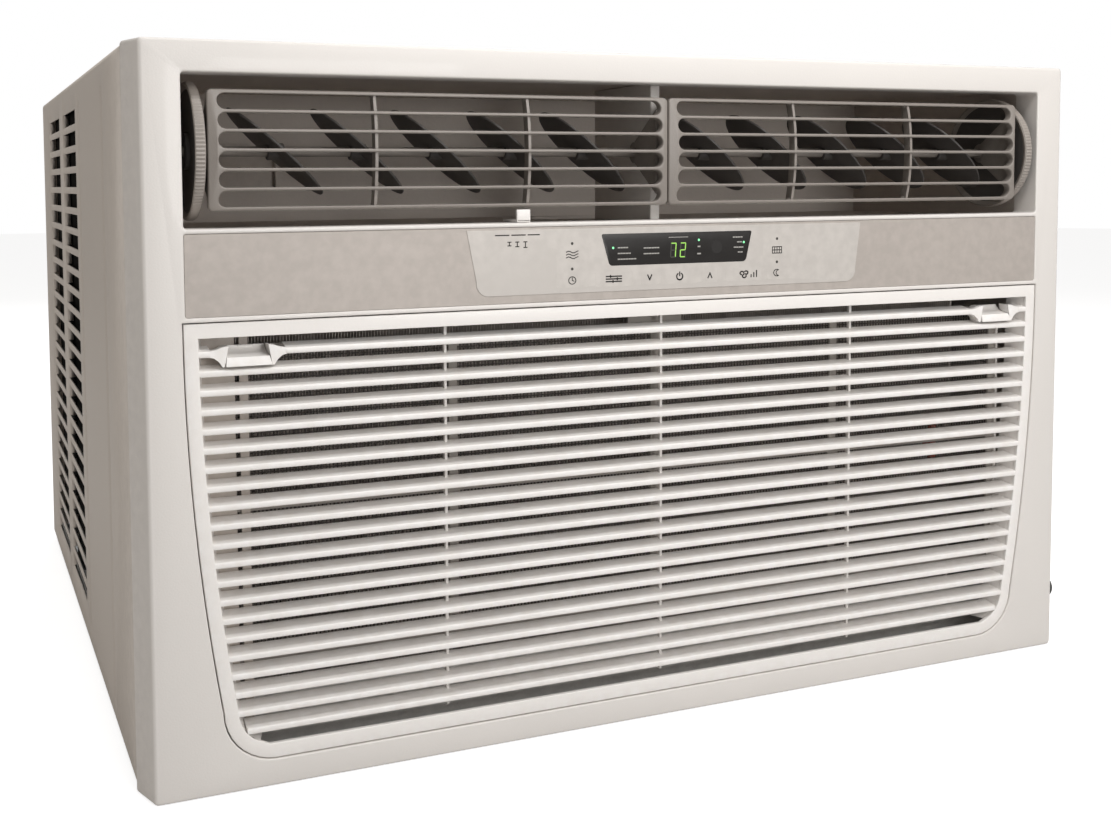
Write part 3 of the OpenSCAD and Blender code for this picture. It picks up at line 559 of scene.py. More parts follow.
def cut_rail_holes(bm, on_top, top):
    """Round screw holes for the sash rail, each in a small square cell of the top."""
    cell = 5
    for x in RAIL_HOLE_X:
        cut_across(bm, 0, (x - cell, x + cell), lambda c: on_top(c) and c.y < ROWS[0] and abs(c.x - x) < 140)
        in_band = lambda c: on_top(c) and abs(c.x - x) < cell
        cut_across(bm, 1, (RAIL_HOLE_Y - cell, RAIL_HOLE_Y + cell), in_band)
        middles = [(f, f.calc_center_median()) for f in bm.faces]
        faces = [f for f, c in middles if in_band(c) and abs(c.y - RAIL_HOLE_Y) < cell]
        around = [e for f in faces for e in f.edges]
        bmesh.ops.delete(bm, geom=faces, context="FACES_ONLY")
        place = Matrix.Translation((x, RAIL_HOLE_Y, top))
        circle = bmesh.ops.create_circle(bm, segments=16, radius=2.2, matrix=place)["verts"]
        bmesh.ops.bridge_loops(bm, edges=around + list({e for v in circle for e in v.link_edges}))


def cabinet_cover():
    """Folded sheet cover, modelled at the middle of its sheet and thickened by a modifier."""
    bm = bmesh.new()
    side, top, low, r = HALF_W - HALF_SHEET, COVER_TOP - HALF_SHEET, 5.6, 4.0
    front = PANEL_D + 0.2
    half = [(316.0, low), (side - 1.5, low), (side - 0.4, low + 0.4), (side, low + 1.5)]
    verts = [bm.verts.new((x, front, z)) for x, z in both_sides(half + arc(side - r, top - r, r, 0, 90, 6))]
    edges = [bm.edges.new(pair) for pair in zip(verts, verts[1:])]
    far = new_verts(bmesh.ops.extrude_edge_only(bm, edges=edges))
    bmesh.ops.translate(bm, vec=(0, COVER_BACK - front, 0), verts=far)
    on_side = lambda c: abs(c.x) > side - CLOSE
    on_top = lambda c: c.z > top - CLOSE
    press_swages(bm, on_side)
    cut_side_holes(bm, on_side)
    cut_top_rows(bm, on_top)
    cut_rail_holes(bm, on_top, top)
    # turned-in flange around the back
    for v in turn_lips(bm, lambda c: abs(c.y - COVER_BACK) < CLOSE):
        v.co.x = max(-320.0, min(320.0, v.co.x))
        v.co.z = min(v.co.z, 408.5)
    bmesh.ops.remove_doubles(bm, verts=bm.verts, dist=0.001)
    bmesh.ops.recalc_face_normals(bm, faces=bm.faces)
    cover = piece("cabinet_cover", bm, "root", ["cabinet"], "cabinet_paint", sharp=30.0, turned_in=False)
    sheet = cover.modifiers.new("sheet", "SOLIDIFY")
    sheet.thickness = 2 * HALF_SHEET * MM
    sheet.offset = 0.0


cabinet_cover()


def side_shade_sheets():
    """Dark sheets just inside the side louvres: painted shade, so that the louvre holes look black."""
    for side, name in ((-1, "left"), (1, "right")):
        bm = bmesh.new()
        side_block(bm, side, (327.2, 328.2), (282, 538), (38, 408), 0.2)
        for y in (284, 409, 534):
            side_block(bm, side, (326.4, 328.2), (y, y + 3), (38, 408), 0.2)
        piece("louvre_shade_sheet_" + name, bm, "root", [], "fan_black", SHADE_SHEET)

side_shade_sheets()


# ---- front panel
def grille_side(z):
    t = (GRILLE_TOP - z) / (GRILLE_TOP - 50)
    return GRILLE_HALF - GRILLE_TAPER * t * t


CORNER_Z = GRILLE_LOW + GRILLE_R
CORNER_X = grille_side(CORNER_Z) - GRILLE_R


def grille_outline(g=0.0):
    """Outline of the grille: sides that draw in gently, then round lower corners."""
    edge = [(GRILLE_HALF + g, GRILLE_TOP + g)]
    levels = [GRILLE_TOP - (GRILLE_TOP - CORNER_Z) * i / 12 for i in range(1, 12)]
    edge += [(grille_side(z) + g, z) for z in levels]
    return both_sides(edge + arc(CORNER_X, CORNER_Z, GRILLE_R + g, 0, -90, 9))


def panel_side(inset_x, inset_z):
    return rounded(-FACE_HALF + inset_x, FACE_HALF - inset_x, inset_z, UNIT_H - inset_z, 2.5, 4)()


def front_moulding():
    bm = bmesh.new()
    r = 1.8
    wall, back = 2.5, 4.0
    draft = (HALF_W - FACE_HALF) / PANEL_D
    stations = [(panel_side(inset - draft * deep, inset), deep) for inset, deep in rounding(r, 5)]
    stations.append((panel_side(-draft * PANEL_D, 0), PANEL_D))
    stations += [(panel_side(wall - draft * deep, wall), deep) for deep in (PANEL_D, back)]
    ends = [tunnel(bm, stations)]
    outlet = rounded(-OUTLET_HALF, OUTLET_HALF, *OUTLET_Z, 2.0, 4)
    strip = rounded(-OUTLET_HALF, OUTLET_HALF, *STRIP_Z, 1.2, 3)
    stations = [(outlet(inset), deep) for inset, deep in rounding(1.15, 4)]
    ends.append(tunnel(bm, stations + [(outlet(), 20.5), (outlet(2.0), 20.5), (outlet(2.0), back)]))
    stations = [(strip(inset), deep) for inset, deep in rounding(0.9, 3)]
    ends.append(tunnel(bm, stations + [(strip(), back)]))
    seam = 0.7
    stations = [(grille_outline(seam + inset), deep) for inset, deep in rounding(0.9, 3)]
    ends.append(tunnel(bm, stations + [(grille_outline(seam), 6.5), (grille_outline(seam + 1.2), 6.5),
                                       (grille_outline(seam + 1.2), back)]))
    fill(bm, [e for front, _ in ends for e in front])
    fill(bm, [e for _, rear in ends for e in rear])
    piece("front_moulding", bm, "root", ["front_panel"], "white_moulding")


front_moulding()


# ---- control band
KEYS = {
    "mode": (-39, 284.8, 26, 9), "down": (-13.4, 284.8, 12, 9), "power": (8.5, 284.8, 27, 9),
    "up": (31, 284.8, 12, 9), "fan_speed": (57, 284.8, 28, 9), "clean_air": (-68, 300.6, 22, 8.5),
    "timer": (-68, 284.8, 22, 8.5), "filter_reset": (82.5, 299.8, 22, 8.5), "sleep": (82.5, 284.8, 16, 8.5),
}
DISPLAY_Z = (293, 313)
LAMPS = [(-68, 307.6), (-68, 291.9), (82.5, 307.2), (82.5, 291.9)]


def display_outline(g=0.0):
    """The dark window: slanted ends and round lower corners."""
    low, high = DISPLAY_Z
    corners = ((62.5, high, 1.0, -8, 90), (-47.5, high, 1.0, 90, 192),
               (-42.8, low, 3.0, 192, 270), (58.8, low, 3.0, 270, 352))
    points = []
    for x, z, r, a0, a1 in corners:
        points += arc(x - math.copysign(r, x), z - r if z == high else z + r, r + g, a0, a1, 4)
    return points


def overlay_outline(g=0.0):
    top, r = 316.8, 8
    points = [(149.8 + g, top + g), (-138 - g, top + g)]
    return points + arc(-124, 285, r + g, 172, 265, 6) + arc(138, 285, r + g, 275, 368, 6)


def key_outline(key, g=0.0):
    x, z, w, h = KEYS[key]
    return rounded(x - w / 2, x + w / 2, z - h / 2, z + h / 2, 1.2, 3)


def control_band():
    bm = bmesh.new()
    gap = 0.15
    strip = rounded(-OUTLET_HALF + gap, OUTLET_HALF - gap, STRIP_Z[0] + gap, STRIP_Z[1] - gap, 1.0, 3)
    plate(bm, strip, [display_outline], 0.55, 1.45, r=0.1, r_back=0.1, steps=1)
    piece("control_band", bm, "root", ["control_strip"], "strip_grey")
    bm = bmesh.new()
    holes = [key_outline(key) for key in KEYS] + [display_outline]
    holes += [lambda g=0.0, p=p: arc(*p, 0.95 + g, 0, 330, 11) for p in LAMPS]
    plate(bm, overlay_outline, holes, 0.2, 0.5, r=0.12, r_hole=0.02, r_back=0.02, steps=1)
    piece("control_membrane", bm, "root", ["control_overlay"], "overlay_grey")
    bm = bmesh.new()
    plate(bm, lambda g=0.0: display_outline(g - 0.04), [], 0.16, 2.6, r=0.1, r_back=0.1, steps=2)
    piece("display_glass", bm, "root", ["display_window"], "display_black")


control_band()


def strokes(bm, paths, width, y, deep=0.05):
    """Print made of straight strokes, each a thin film with a width of its own."""
    for (x0, z0), (x1, z1) in paths:
        length = math.hypot(x1 - x0, z1 - z0)
        turn = Matrix.Rotation(-math.atan2(z1 - z0, x1 - x0), 4, "Y")
        place = Matrix.Translation(((x0 + x1) / 2, y + deep / 2, (z0 + z1) / 2)) @ turn
        size = Matrix.Diagonal((length + width * 0.8, deep, width, 1))
        bmesh.ops.create_cube(bm, size=1.0, matrix=place @ size)


def chain(points):
    return list(zip(points, points[1:]))


def polar(r, a):
    return r * math.cos(math.radians(a)), r * math.sin(math.radians(a))


def fan_sign():
    """Three blades round a hub, beside three rising bars."""
    blades = [chain([polar(0.4, a)] + arc(*polar(1.15, a + 35), 0.9, a - 80, a + 140, 6))
              for a in (0, 120, 240)]
    bars = [((3.4 + 1.3 * i, -1.7), (3.4 + 1.3 * i, -0.6 + 1.1 * i)) for i in range(3)]
    return [line for blade in blades for line in blade] + bars


def wave_sign():
    waves = [chain([(-3 + i, middle + 0.45 * math.sin(i * 1.3)) for i in range(7)])
             for middle in (-1.3, 0, 1.3)]
    return [line for wave in waves for line in wave]


# Plain signs that stand for what each key does.
SIGNS = {
    "mode": [((-3.6, 1.4), (3.6, 1.4)), ((-3.6, 0), (3.6, 0)), ((-3.6, -1.4), (3.6, -1.4)),
             ((-1.6, 1.9), (-1.6, 0.9)), ((1.6, 0.5), (1.6, -0.5)), ((-0.4, -0.9), (-0.4, -1.9))],
    "down": [((-1.5, 1.5), (0, -1.3)), ((0, -1.3), (1.5, 1.5))],
    "up": [((-1.5, -1.5), (0, 1.3)), ((0, 1.3), (1.5, -1.5))],
    "power": chain(arc(0, 0, 1.9, 125, 415, 14)) + [((0, 2.4), (0, 0.4))],
    "fan_speed": fan_sign(),
    "clean_air": wave_sign(),
    "timer": chain(arc(0, 0, 1.9, 90, 450, 16)) + [((0, 0), (0, 1.3)), ((0, 0), (1.0, -0.4))],
    "filter_reset": [((-2.4 + 1.2 * i, -1.6), (-2.4 + 1.2 * i, 1.6)) for i in range(5)]
    + [((-2.4, 1.6 * i), (2.4, 1.6 * i)) for i in (-1, 0, 1)],
    "sleep": chain(arc(0, 0, 1.9, 60, 300, 12)) + chain(arc(1.25, 0, 1.66, 97, 263, 10)),
}
# How much wider and taller each sign is than drawn above.
SIGN_SIZE = {"mode": (1.5, 1.15), "down": (0.95, 1.1), "up": (0.95, 1.1), "power": (1.15, 1.15),
             "fan_speed": (1.6, 1.2), "clean_air": (1.35, 1.35), "timer": (1.3, 1.2),
             "filter_reset": (1.5, 1.3), "sleep": (1.3, 1.15)}
BOLD_KEYS = ("mode", "down", "power", "up", "fan_speed")


def keypad():
    for key, (x, z, _, _) in KEYS.items():
        bm = bmesh.new()
        plate(bm, key_outline(key), [], 0.2, 5.0, r=0.03, r_back=0.1, steps=1)
        before = set(bm.faces)
        wide, tall = SIGN_SIZE[key]
        signs = [[(x + dx * wide, z + dz * tall) for dx, dz in line] for line in SIGNS[key]]
        strokes(bm, signs, 0.85 if key in BOLD_KEYS else 0.55, 0.14)
        for face in bm.faces:
            if face not in before:
                face.material_index = 1
        looks = [FINISH["key_grey"], INK]
        piece("key_" + key + "_cap", bm, "button_" + key, ["key_" + key], "key_grey", looks)


keypad()


# The bars of a two-figure display, in the display's own lean.
SEGMENTS = {"a": ((0.3, 9.1), (3.4, 9.1)), "b": ((3.6, 8.8), (3.3, 5.1)), "c": ((3.2, 4.3), (3.0, 0.6)),
            "d": ((-0.1, 0.3), (2.8, 0.3)), "e": ((-0.3, 4.3), (-0.4, 0.6)), "f": ((0.1, 8.8), (-0.2, 5.1)),
            "g": ((0, 4.7), (3.0, 4.7))}
FIGURES = ((2.2, "abc"), (9.2, "abged"))
FIGURE_Z = 297.0


def figure_bars(x, names):
    return [[(x + dx, FIGURE_Z + dz) for dx, dz in SEGMENTS[name]] for name in names]


def display_marks():
    """Lit figures, lamps and pale marks on the dark glass, and the small print around it."""
    bm = bmesh.new()
    strokes(bm, [bar for x, lit in FIGURES for bar in figure_bars(x, lit)], 0.68, 0.10)
    piece("digit_figures", bm, "root", ["digit_display"], "display_green")
    bm = bmesh.new()
    for x, lit in FIGURES:
        strokes(bm, figure_bars(x, [name for name in SEGMENTS if name not in lit]), 0.68, 0.10)
    piece("digit_figures_unlit", bm, "root", [], "display_black", LAMP_GHOST)
    bm = bmesh.new()
    for x, z in ((-39.5, 304.2), (22.6, 307.8), (56.6, 305.6)):
        rod(bm, (x, 0.16, z), (x, 0.10, z), 0.75, 12)
    piece("display_lamps", bm, "root", [], "display_green", LAMP_ON)
    bm = bmesh.new()
    for x0, rows in ((-36, ((304.2, 6), (300.6, 8), (297.0, 12))), (-17.5, ((303.6, 11), (300.0, 11))),
                     (47.0, ((309.0, 6.5), (305.8, 3.2), (302.4, 5.8), (299.2, 2.6)))):
        for z, w in rows:
            pen = x0 + (8 - w if x0 > 40 else 0)
            bars = [(pen + 1.9 * i, pen + 1.9 * i + 1.1) for i in range(int(w / 1.9) + 1)]
            strokes(bm, [((a, z), (b, z)) for a, b in bars], 0.75, 0.10)
    strokes(bm, [((0.5, 309.9), (14.5, 309.9))], 0.4, 0.10)
    strokes(bm, [((22.0, 303.6), (23.4, 303.6)), ((21.8, 299.0), (23.8, 299.0))], 0.9, 0.10)
    piece("display_print", bm, "root", [], "display_green", PALE_INK)
    bm = bmesh.new()
    rod(bm, (36, 0.16, 303), (36, 0.08, 303), 4.2, 24)
    piece("remote_eye", bm, "root", [], "display_black", HOLLOW)
    bm = bmesh.new()
    for i, x in enumerate((-110.2, -105.0, -99.6)):
        foot = 307.2 - 0.6 * i
        bars = [((x - 1.1, 309.4), (x + 1.1, 309.4)), ((x, 309.4), (x, foot)),
                ((x - 1.1, foot), (x + 1.1, foot))]
        strokes(bm, bars, 0.6, 0.15)
    dashes = [-119.4 + 1.35 * i for i in range(22) if i % 8 != 7]
    strokes(bm, [((left, 313.6), (left + 0.8, 313.6)) for left in dashes], 0.7, 0.15)
    piece("vent_print", bm, "root", [], "overlay_grey", INK)
    bm = bmesh.new()
    for x, z in LAMPS:
        rod(bm, (x, 1.4, z), (x, 0.25, z), 0.93, 12)
    piece("panel_lamps", bm, "root", [], "display_black", LAMP_OFF)


display_marks()


# ---- intake grille
def field_half(z):
    drop = CORNER_Z - z
    r = GRILLE_R - FIELD_INSET
    if drop <= 0:
        return grille_side(z) - FIELD_INSET
    return CORNER_X + math.sqrt(max(r * r - drop * drop, 0.0))


LAST_Z = SLOT_TOP - (SLOT_COUNT - 1) * SLOT_PITCH - SLOT_GAP
LATCH_X = 270.0
FUNNEL = 21.4


def field_outline(g=0.0):
    levels = [SLOT_TOP - (SLOT_TOP - CORNER_Z) * i / 12 for i in range(13)]
    levels += [CORNER_Z - (CORNER_Z - LAST_Z) * i / 5 for i in range(1, 6)]
    edge = [(field_half(z) + g, z) for z in levels]
    edge[0] = (edge[0][0], SLOT_TOP + g)
    edge[-1] = (edge[-1][0], LAST_Z - g)
    return both_sides(edge)


def slat_profile(z):
    """Side view of a slat: a round nose and a top that rises to the back."""
    nose, front, back = 0.9, 0.55, 11.5
    upper = [math.radians(35 * i) for i in range(3)]
    points = [(back, z + 2.6), (4.0, z + 0.5), (front + nose, z)]
    points += [(front + nose - nose * math.cos(a), z + nose - nose * math.sin(a)) for a in reversed(upper)]
    points += [(front + nose - nose * math.cos(a), z + SLAT_H - nose + nose * math.sin(a)) for a in upper]
    return points + [(front + nose, z + SLAT_H), (back, z + SLAT_H + 2.1)]


def funnel_cheeks(bm, x):
    """Cheeks that open the cut slat out around a latch, like a funnel."""
    edge = [(FUNNEL + 0.5, 249.43), (FUNNEL + 0.5, 253.05), (18.0, 253.7), (14.6, 254.9), (11.4, 255.4),
            (13.55, 243.9), (14.7, 243.7), (16.6, 246.6), (19.4, 248.9)]
    for sign in (-1, 1):
        face = bm.faces.new([bm.verts.new((x + sign * dx, 0.75, z)) for dx, z in edge])
        for v in new_verts(bmesh.ops.extrude_face_region(bm, geom=[face])):
            v.co.y = 9.5
            if abs(v.co.x - x) > 15:
                v.co.x = x + (v.co.x - x) * 0.93


def grille_door():
    bm = bmesh.new()
    plate(bm, grille_outline, [field_outline], 0.5, 3.4, r=0.6, r_hole=0.5, r_back=0.2, steps=3)
    # end walls of the slots, which lean in towards the back
    for sign in (-1, 1):
        levels = [SLOT_TOP + 1 - (SLOT_TOP - CORNER_Z) * i / 12 for i in range(13)]
        levels += [CORNER_Z - 5 * i for i in range(1, 5)]
        front = [bm.verts.new((sign * (field_half(z) + 0.02), 3.0, z)) for z in levels]
        edges = [bm.edges.new(pair) for pair in zip(front, front[1:])]
        for step_x, step_y in ((-3.8, 12.4), (1.6, 0.0), (3.4, -12.4)):
            made = bmesh.ops.extrude_edge_only(bm, edges=edges)
            bmesh.ops.translate(bm, vec=(sign * step_x, step_y, 0), verts=new_verts(made))
            edges = new_edges(made)
    for k in range(1, SLOT_COUNT):
        z = SLOT_TOP - k * SLOT_PITCH
        half = min(field_half(z), field_half(z + SLAT_H)) + 0.4
        if k == 1:
            near, far = LATCH_X - FUNNEL, LATCH_X + FUNNEL
            for x0, x1 in ((-half, -far), (-near, near), (far, half)):
                slab(bm, slat_profile(z), x0, x1)
        else:
            slab(bm, slat_profile(z), -half, half)
    for x in (-149, 0, 149):
        block(bm, (x - 0.9, 8.6, 27), (x + 0.9, 11.3, 260), 0.3)
    for sign in (-1, 1):
        funnel_cheeks(bm, sign * LATCH_X)
        side_block(bm, sign, (285.5, 287.3), (16.0, 22.4), (62, 252), 0.3)
        side_block(bm, sign, (281.5, 286.0), (20.9, 22.4), (62, 252), 0.3)
        rod(bm, (sign * 284.5, 5, 46), (sign * 296, 5, 46), 1.75, 20, 0.3)
        side_block(bm, sign, (282, 285.5), (3.5, 9), (42, 50), 0.4)
    piece("grille_door", bm, "grille", ["intake_grille"], "grille_white")
    bm = bmesh.new()
    block(bm, (-298, 15.15, 24), (-275.2, 16.25, 262.5), 0.2)
    block(bm, (-272.6, 15.15, 24), (-267.4, 16.25, 262.5), 0.2)
    for z in (24, 258.5):
        block(bm, (-276, 15.3, z), (-272, 16.1, z + 3), 0.1)
    piece("filter_guide_plate", bm, "grille", [], "duct_grey")


grille_door()


def latches():
    for side, word in ((-1, "left"), (1, "right")):
        bm = bmesh.new()
        x, half, top = side * LATCH_X, 13.1, 254.6
        # sloping pull lip with a scoop that curves up behind it
        bends = [math.radians(a) for a in range(10, 91, 10)]
        profile = [(12.8, top), (12.8, 249.4), (2.4, 246.0), (-0.4, 243.9), (-0.8, 243.9), (-0.9, 244.4),
                   (1.5, 248.8)]
        profile += [(1.6 + 10.4 * math.sin(a), top - 5.6 * math.cos(a)) for a in bends]
        slab(bm, profile, x - half, x + half)
        for v in bm.verts:
            v.co.x = x + (v.co.x - x) * (1 - 0.16 * max(0.0, v.co.z - 244.0) / 10.6)
        block(bm, (x - 4, 11.5, 249.5), (x + 4, 14.8, 254.4), 0.3)
        piece("latch_pull_" + word, bm, "latch_" + word[0], ["latch_" + word], "grille_white")


latches()


# ---- filter and coil behind the grille
def filter_parts():
    bm = bmesh.new()
    bar, half, z0, z1 = 6.0, 285.0, 66.0, 254.0
    w = (2 * half - 5 * bar) / 4
    h = (z1 - z0 - 3 * bar) / 2
    cells = [(-half + bar + i * (w + bar), z0 + bar + j * (h + bar)) for i in range(4) for j in range(2)]
    holes = [rounded(x, x + w, z, z + h, 2.0, 3) for x, z in cells]
    plate(bm, rounded(-half, half, z0, z1, 3.0, 4), holes, 16.5, 20.1, r=0.5, r_back=0.4, steps=2)
    plate(bm, rounded(-20, 20, z1 - 1, z1 + 5, 1.5, 3), [], 16.6, 18.5, r=0.4, r_back=0.4, steps=2)
    piece("filter_frame_moulding", bm, "filter", ["filter_frame"], "filter_plastic")
    bm = bmesh.new()
    for x, z in cells:
        block(bm, (x - 0.3, 17.9, z - 0.3), (x + w + 0.3, 18.5, z + h + 0.3))
    piece("filter_net", bm, "filter", ["filter_mesh"], "filter_net")


filter_parts()


def coil_pack(name, node, x0, x1, y0, y1, z0, z1, pitch, left_bends, right_bends):
    """A stack of thin upright fins between two end plates, with the tubes' return bends outside."""
    bm = bmesh.new()
    count = int((x1 - x0 - 2) / pitch)
    for i in range(count + 1):
        x = x0 + 1 + i * pitch
        block(bm, (x, y0 + 0.4, z0 + 0.5), (x + 0.35, y1 - 0.4, z1 - 0.5))
    for x in (x0 - 1.5, x1):
        block(bm, (x, y0 - 0.5, z0), (x + 1.5, y1 + 0.5, z1 + 1), 0.3)
    piece(name + "_fins", bm, "root", [node], "coil_fin")
    bm = bmesh.new()
    y = (y0 + y1) / 2
    for x, turn, rows in ((x1 + 1.5, 1, right_bends), (x0 - 1.5, -1, left_bends)):
        for z in rows:
            place = Matrix.Translation((x, y - 10, z)) @ Matrix.Rotation(math.radians(90), 4, "Y")
            circle = bmesh.ops.create_circle(bm, segments=12, radius=4, matrix=place)["verts"]
            edges = list({e for v in circle for e in v.link_edges})
            bmesh.ops.spin(bm, geom=edges, cent=(x, y, z), axis=(0, 0, -turn), angle=math.pi, steps=10,
                           use_merge=False)
    piece(name + "_tubes", bm, "root", [], "copper_tube")


coil_pack("indoor_coil", "evaporator", -282, 262, 38, 86, 24, 262, 1.9,
          [39 + 26 * i for i in range(8)], [52 + 26 * i for i in range(8)])
coil_pack("outdoor_coil", "condenser", -300, 296, 536, 580, 10, 398, 2.2,
          [39 + 26 * i for i in range(14)], [26 + 26 * i for i in range(14)])


# ---- air outlet
def bow(y, z):
    """The louvres' front is bowed: its middle stands forward of its edges."""
    dz = z - AXIS_Z
    return y + BOW_R - math.sqrt(BOW_R * BOW_R - dz * dz)


def louvre_frame(name, node, body, x0, x1, arms):
    """A bowed frame of six gaps, with two upright ribs and an arm to the shaft at each end."""
    bm = bmesh.new()
    low, high = AXIS_Z - LOUVRE_HALF_H, AXIS_Z + LOUVRE_HALF_H
    gap, margin, end = 9.0, 1.3, 5.5
    pitch = (high - low - 2 * margin) / 6
    middles = [low + margin + pitch * (k + 0.5) for k in range(6)]
    holes = [rounded(x0 + end, x1 - end, z - gap / 2, z + gap / 2, gap / 2 - 0.05, 5) for z in middles]
    plate(bm, rounded(x0, x1, low, high, 3.0, 5), holes, 1.5, 7.2, r=1.0, r_hole=0.8, r_back=0.6, steps=3)
    for v in bm.verts:
        v.co.y = bow(v.co.y, v.co.z)
    levels = [low + 1 + (high - low - 2) * i / 8 for i in range(9)]
    rib = [(bow(3.0, z), z) for z in levels] + [(bow(3.0, z) + 6.0, z) for z in reversed(levels)]
    for t in (1 / 3, 2 / 3):
        x = x0 + (x1 - x0) * t
        slab(bm, rib, x - 0.9, x + 0.9)
        for z in (low + margin + pitch, high - margin - pitch, low + 2, high - 2):
            rod(bm, (x, bow(6, z), z - 1.4), (x, bow(6, z), z + 1.4), 2.0, 8, 0.3)
    arm = [(9, AXIS_Z + 27), (9, AXIS_Z - 27), (AXIS_Y, AXIS_Z - 6.5)]
    turns = [math.radians(15 + 15 * i) for i in range(11)]
    arm += [(AXIS_Y + 7 * math.sin(a), AXIS_Z - 7 * math.cos(a)) for a in turns]
    arm.append((AXIS_Y, AXIS_Z + 6.5))
    for x in arms:
        slab(bm, arm, x, x + 2.5)
    piece(name, bm, body, [node], "louvre_grey")


louvre_frame("louvre_frame_left", "louvre_left", "louvre_l", -290, POST_X - 0.4, (-290, POST_X - 7))
louvre_frame("louvre_frame_right", "louvre_right", "louvre_r", POST_X + 0.4, 290, (287.5, POST_X + 4.5))


def vane_row(name, shaft_name, nodes, body, x0, shaft):
    """Oblique oval vanes on a shaft: each rim sweeps a cylinder round the shaft. Each has a short hub."""
    slant = math.radians(48)
    whole = bmesh.new()
    for i in range(5):
        x = x0 + 50.5 * i
        bm = bmesh.new()
        rod(bm, (-0.8, 0, 0), (0.8, 0, 0), 25.2, 56, 0.6)
        stretch = Matrix.Diagonal((1, 1, 1 / math.cos(slant), 1))
        place = Matrix.Translation((x, AXIS_Y, AXIS_Z)) @ Matrix.Rotation(-slant, 4, "Y") @ stretch
        bmesh.ops.transform(bm, matrix=place, verts=bm.verts)
        rod(bm, (x - 5, AXIS_Y, AXIS_Z), (x + 5, AXIS_Y, AXIS_Z), 5, 24, 0.5)
        part = bpy.data.meshes.new("vane")
        bm.to_mesh(part)
        whole.from_mesh(part)
        bm.free()
        bpy.data.meshes.remove(part)
    piece(name, whole, body, [nodes[1]], "vane_dark")
    bm = bmesh.new()
    rod(bm, (shaft[0], AXIS_Y, AXIS_Z), (shaft[1], AXIS_Y, AXIS_Z), 3, 24, 0.4)
    piece(shaft_name, bm, body, [nodes[0]], "louvre_grey")


vane_row("vane_row_left", "vane_rod_left", ("vane_shaft_left", "vanes_left"), "steer_l",
         -244.5, (-305.3, POST_X - 0.5))
vane_row("vane_row_right", "vane_rod_right", ("vane_shaft_right", "vanes_right"), "steer_r",
         POST_X + 45.5, (POST_X + 0.5, 305.3))


def ribbed_wheel(name, node, body, x0):
    """Thumbwheel with a ribbed rim, a thin dark web and a hub."""
    bm = bmesh.new()
    teeth, width, radius, web = 110, 5.6, 40.0, 2.4
    turn = Matrix.Translation((x0, AXIS_Y, AXIS_Z)) @ Matrix.Rotation(math.radians(90), 4, "Y")
    circle = bmesh.ops.create_circle(bm, segments=2 * teeth, radius=radius - 1.6, matrix=turn)["verts"]
    first = edges = list({e for v in circle for e in v.link_edges})
    # the rim's section, ring by ring: how far along the shaft and how far outwards each step goes
    steps = [(0.5, 0.9), (1.2, 0.5), (width - 3.0, 0.0), (1.2, -0.5), (0.5, -0.9), (0.0, -3.0)]
    steps += [(-(width - 2.8) / 2, -0.4), (0.0, -24.0), (-web, 0.0), (0.0, 24.0)]
    steps.append((1.1 - (width - 2.6) / 2, 0.4))
    for along, outwards in steps:
        made = bmesh.ops.extrude_edge_only(bm, edges=edges)
        edges = new_edges(made)
        for v in new_verts(made):
            v.co += Vector((0, v.co.y - AXIS_Y, v.co.z - AXIS_Z)).normalized() * outwards
            v.co.x += along
    bmesh.ops.bridge_loops(bm, edges=edges + first)
    for v in bm.verts:
        out = Vector((0, v.co.y - AXIS_Y, v.co.z - AXIS_Z))
        half_turns = round(math.degrees(math.atan2(out.z, out.y)) % 360 / (180 / teeth))
        if out.length > radius - 0.6 and half_turns % 2:
            v.co -= out.normalized() * 0.75
    rod(bm, (x0, AXIS_Y, AXIS_Z), (x0 + width, AXIS_Y, AXIS_Z), 10.5, 32, 0.6)
    bmesh.ops.recalc_face_normals(bm, faces=bm.faces)
    for face in bm.faces:
        middle = face.calc_center_median()
        face.material_index = int(math.hypot(middle.y - AXIS_Y, middle.z - AXIS_Z) < radius - 4.5)
    piece(name, bm, body, [node], "wheel_grey", [FINISH["wheel_grey"], FINISH["vane_dark"]], sharp=25.0)


ribbed_wheel("ribbed_wheel_left", "thumbwheel_left", "steer_l", -298.1)
ribbed_wheel("ribbed_wheel_right", "thumbwheel_right", "steer_r", 292.5)


def outlet_trim():
    bm = bmesh.new()
    block(bm, (POST_X - 3.4, 22, 319.2), (POST_X + 3.4, 100, 408.8), 0.8, 3)
    piece("outlet_pillar", bm, "root", ["outlet_post"], "white_moulding")
    bm = bmesh.new()
    block(bm, (-104, 2.6, 321.3), (-95, 24.8, 322.8), 0.4)
    block(bm, (-104, 2.6, 321.5), (-95, 4.6, 329), 0.5)
    block(bm, (-101.5, 22.4, 312), (-97.5, 24.8, 322), 0.3)
    piece("vent_tab", bm, "vent_slider", ["vent_lever"], "grille_white")


outlet_trim()


# ---- back and fixings
def rear_parts():
    bm = bmesh.new()
    y = 603.0
    for x in (-314, 314):
        block(bm, (x - 2, y, 20), (x + 2, y + 4, 404), 0.8)
    for z in (20, 400):
        block(bm, (-316, y, z), (316, y + 4, z + 4), 0.8)
    for i in range(1, 26):
        rod(bm, (-312 + 24 * i, y + 2, 22), (-312 + 24 * i, y + 2, 402), 1.5, 10)
    for z in (120, 212, 304):
        rod(bm, (-314, y + 4.6, z), (314, y + 4.6, z), 1.0, 10)
    piece("wire_guard", bm, "root", ["rear_guard"], "guard_wire")
    bm = bmesh.new()
    for x in (-327, 327):
        for z in (60, 200, 340):
            rod(bm, (x, 600, z), (x, 610.1, z), 1.6, 12)
            rod(bm, (x, 610.01, z), (x, 612, z), 4, 24, 0.5)
    piece("cover_screws", bm, "root", ["cabinet_screws"], "shaft_steel")


rear_parts()


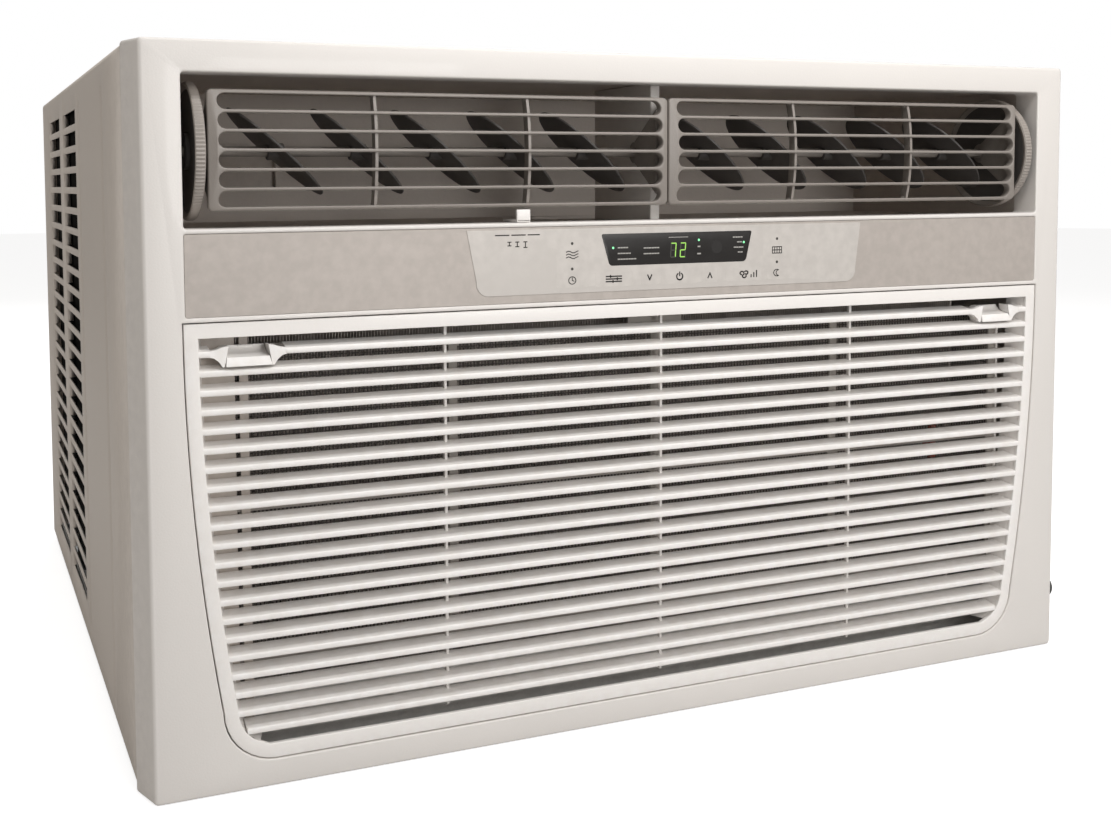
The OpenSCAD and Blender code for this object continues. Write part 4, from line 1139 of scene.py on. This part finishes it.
# ---- carried-over parts
slot_of = {row["node"]: row["material_slot"] for row in frame["record"]["subparts"]}
for node_name, node_object in frame["nodes"].items():
    node_object.data.materials.clear()
    node_object.data.materials.append(FINISH[slot_of[node_name]])


# ---- floor, sky and lights
def studio():
    world = bpy.data.worlds.new("studio")
    bpy.context.scene.world = world
    world.use_nodes = True
    tree = world.node_tree
    tree.nodes.clear()
    out = add(tree, "ShaderNodeOutputWorld")
    glow, seen = add(tree, "ShaderNodeBackground"), add(tree, "ShaderNodeBackground")
    glow.inputs["Color"].default_value = (1.0, 0.975, 0.95, 1)
    glow.inputs["Strength"].default_value = 0.22
    seen.inputs["Color"].default_value = (1, 1, 1, 1)
    mix = add(tree, "ShaderNodeMixShader")
    tree.links.new(add(tree, "ShaderNodeLightPath").outputs["Is Camera Ray"], mix.inputs["Fac"])
    tree.links.new(glow.outputs["Background"], mix.inputs[1])
    tree.links.new(seen.outputs["Background"], mix.inputs[2])
    tree.links.new(mix.outputs["Shader"], out.inputs["Surface"])

    bm = bmesh.new()
    bmesh.ops.create_circle(bm, cap_ends=True, segments=96, radius=9.0)
    mesh = bpy.data.meshes.new("floor")
    bm.to_mesh(mesh)
    bm.free()
    floor = bpy.data.objects.new("floor", mesh)
    floor.location.z = -0.0005
    bpy.context.scene.collection.objects.link(floor)
    paint = finish_of("floor_paint", (0.55, 0.545, 0.54), 0.7, tone=0.01, edge=0.0, dust=0.0)
    tree = paint.node_tree
    shader = tree.nodes["Principled BSDF"].inputs
    shader["Emission Color"].default_value = (1, 1, 1, 1)
    ray = add(tree, "ShaderNodeLightPath").outputs["Is Camera Ray"]
    tree.links.new(maths(tree, "MULTIPLY", ray, 0.80), shader["Emission Strength"])
    mesh.materials.append(paint)

    def lamp(name, place, aim, size, power, colour=(1, 1, 1)):
        data = bpy.data.lights.new(name, "AREA")
        data.shape = "RECTANGLE"
        data.size, data.size_y = size
        data.energy = power
        data.color = colour
        light = bpy.data.objects.new(name, data)
        light.location = place
        light.rotation_euler = (Vector(aim) - Vector(place)).to_track_quat("-Z", "Y").to_euler()
        bpy.context.scene.collection.objects.link(light)

    lamp("key_light", (0.45, -1.6, 0.95), (0.05, -0.25, 0.40), (0.8, 0.5), 7.2, (1.0, 0.99, 0.98))
    lamp("front_light", (0.12, -0.72, 0.98), (0.08, -0.3, 0.40), (0.9, 0.2), 4.0, (1.0, 0.995, 0.99))
    lamp("level_light", (0.35, -2.2, 0.42), (0.05, -0.2, 0.38), (0.5, 0.3), 7.0, (1.0, 0.99, 0.975))
    lamp("top_light", (0.0, 0.1, 2.3), (0.0, 0.0, 0.2), (1.8, 1.8), 20)
    lamp("left_fill", (-2.4, 0.2, 0.7), (0.0, 0.0, 0.2), (1.2, 1.0), 8.2, (1.0, 0.92, 0.83))
    lamp("back_fill", (0.8, 2.2, 1.3), (0.0, 0.0, 0.2), (1.6, 1.2), 16)


studio()
bpy.context.scene.view_settings.view_transform = "Standard"
bpy.context.view_layer.update()
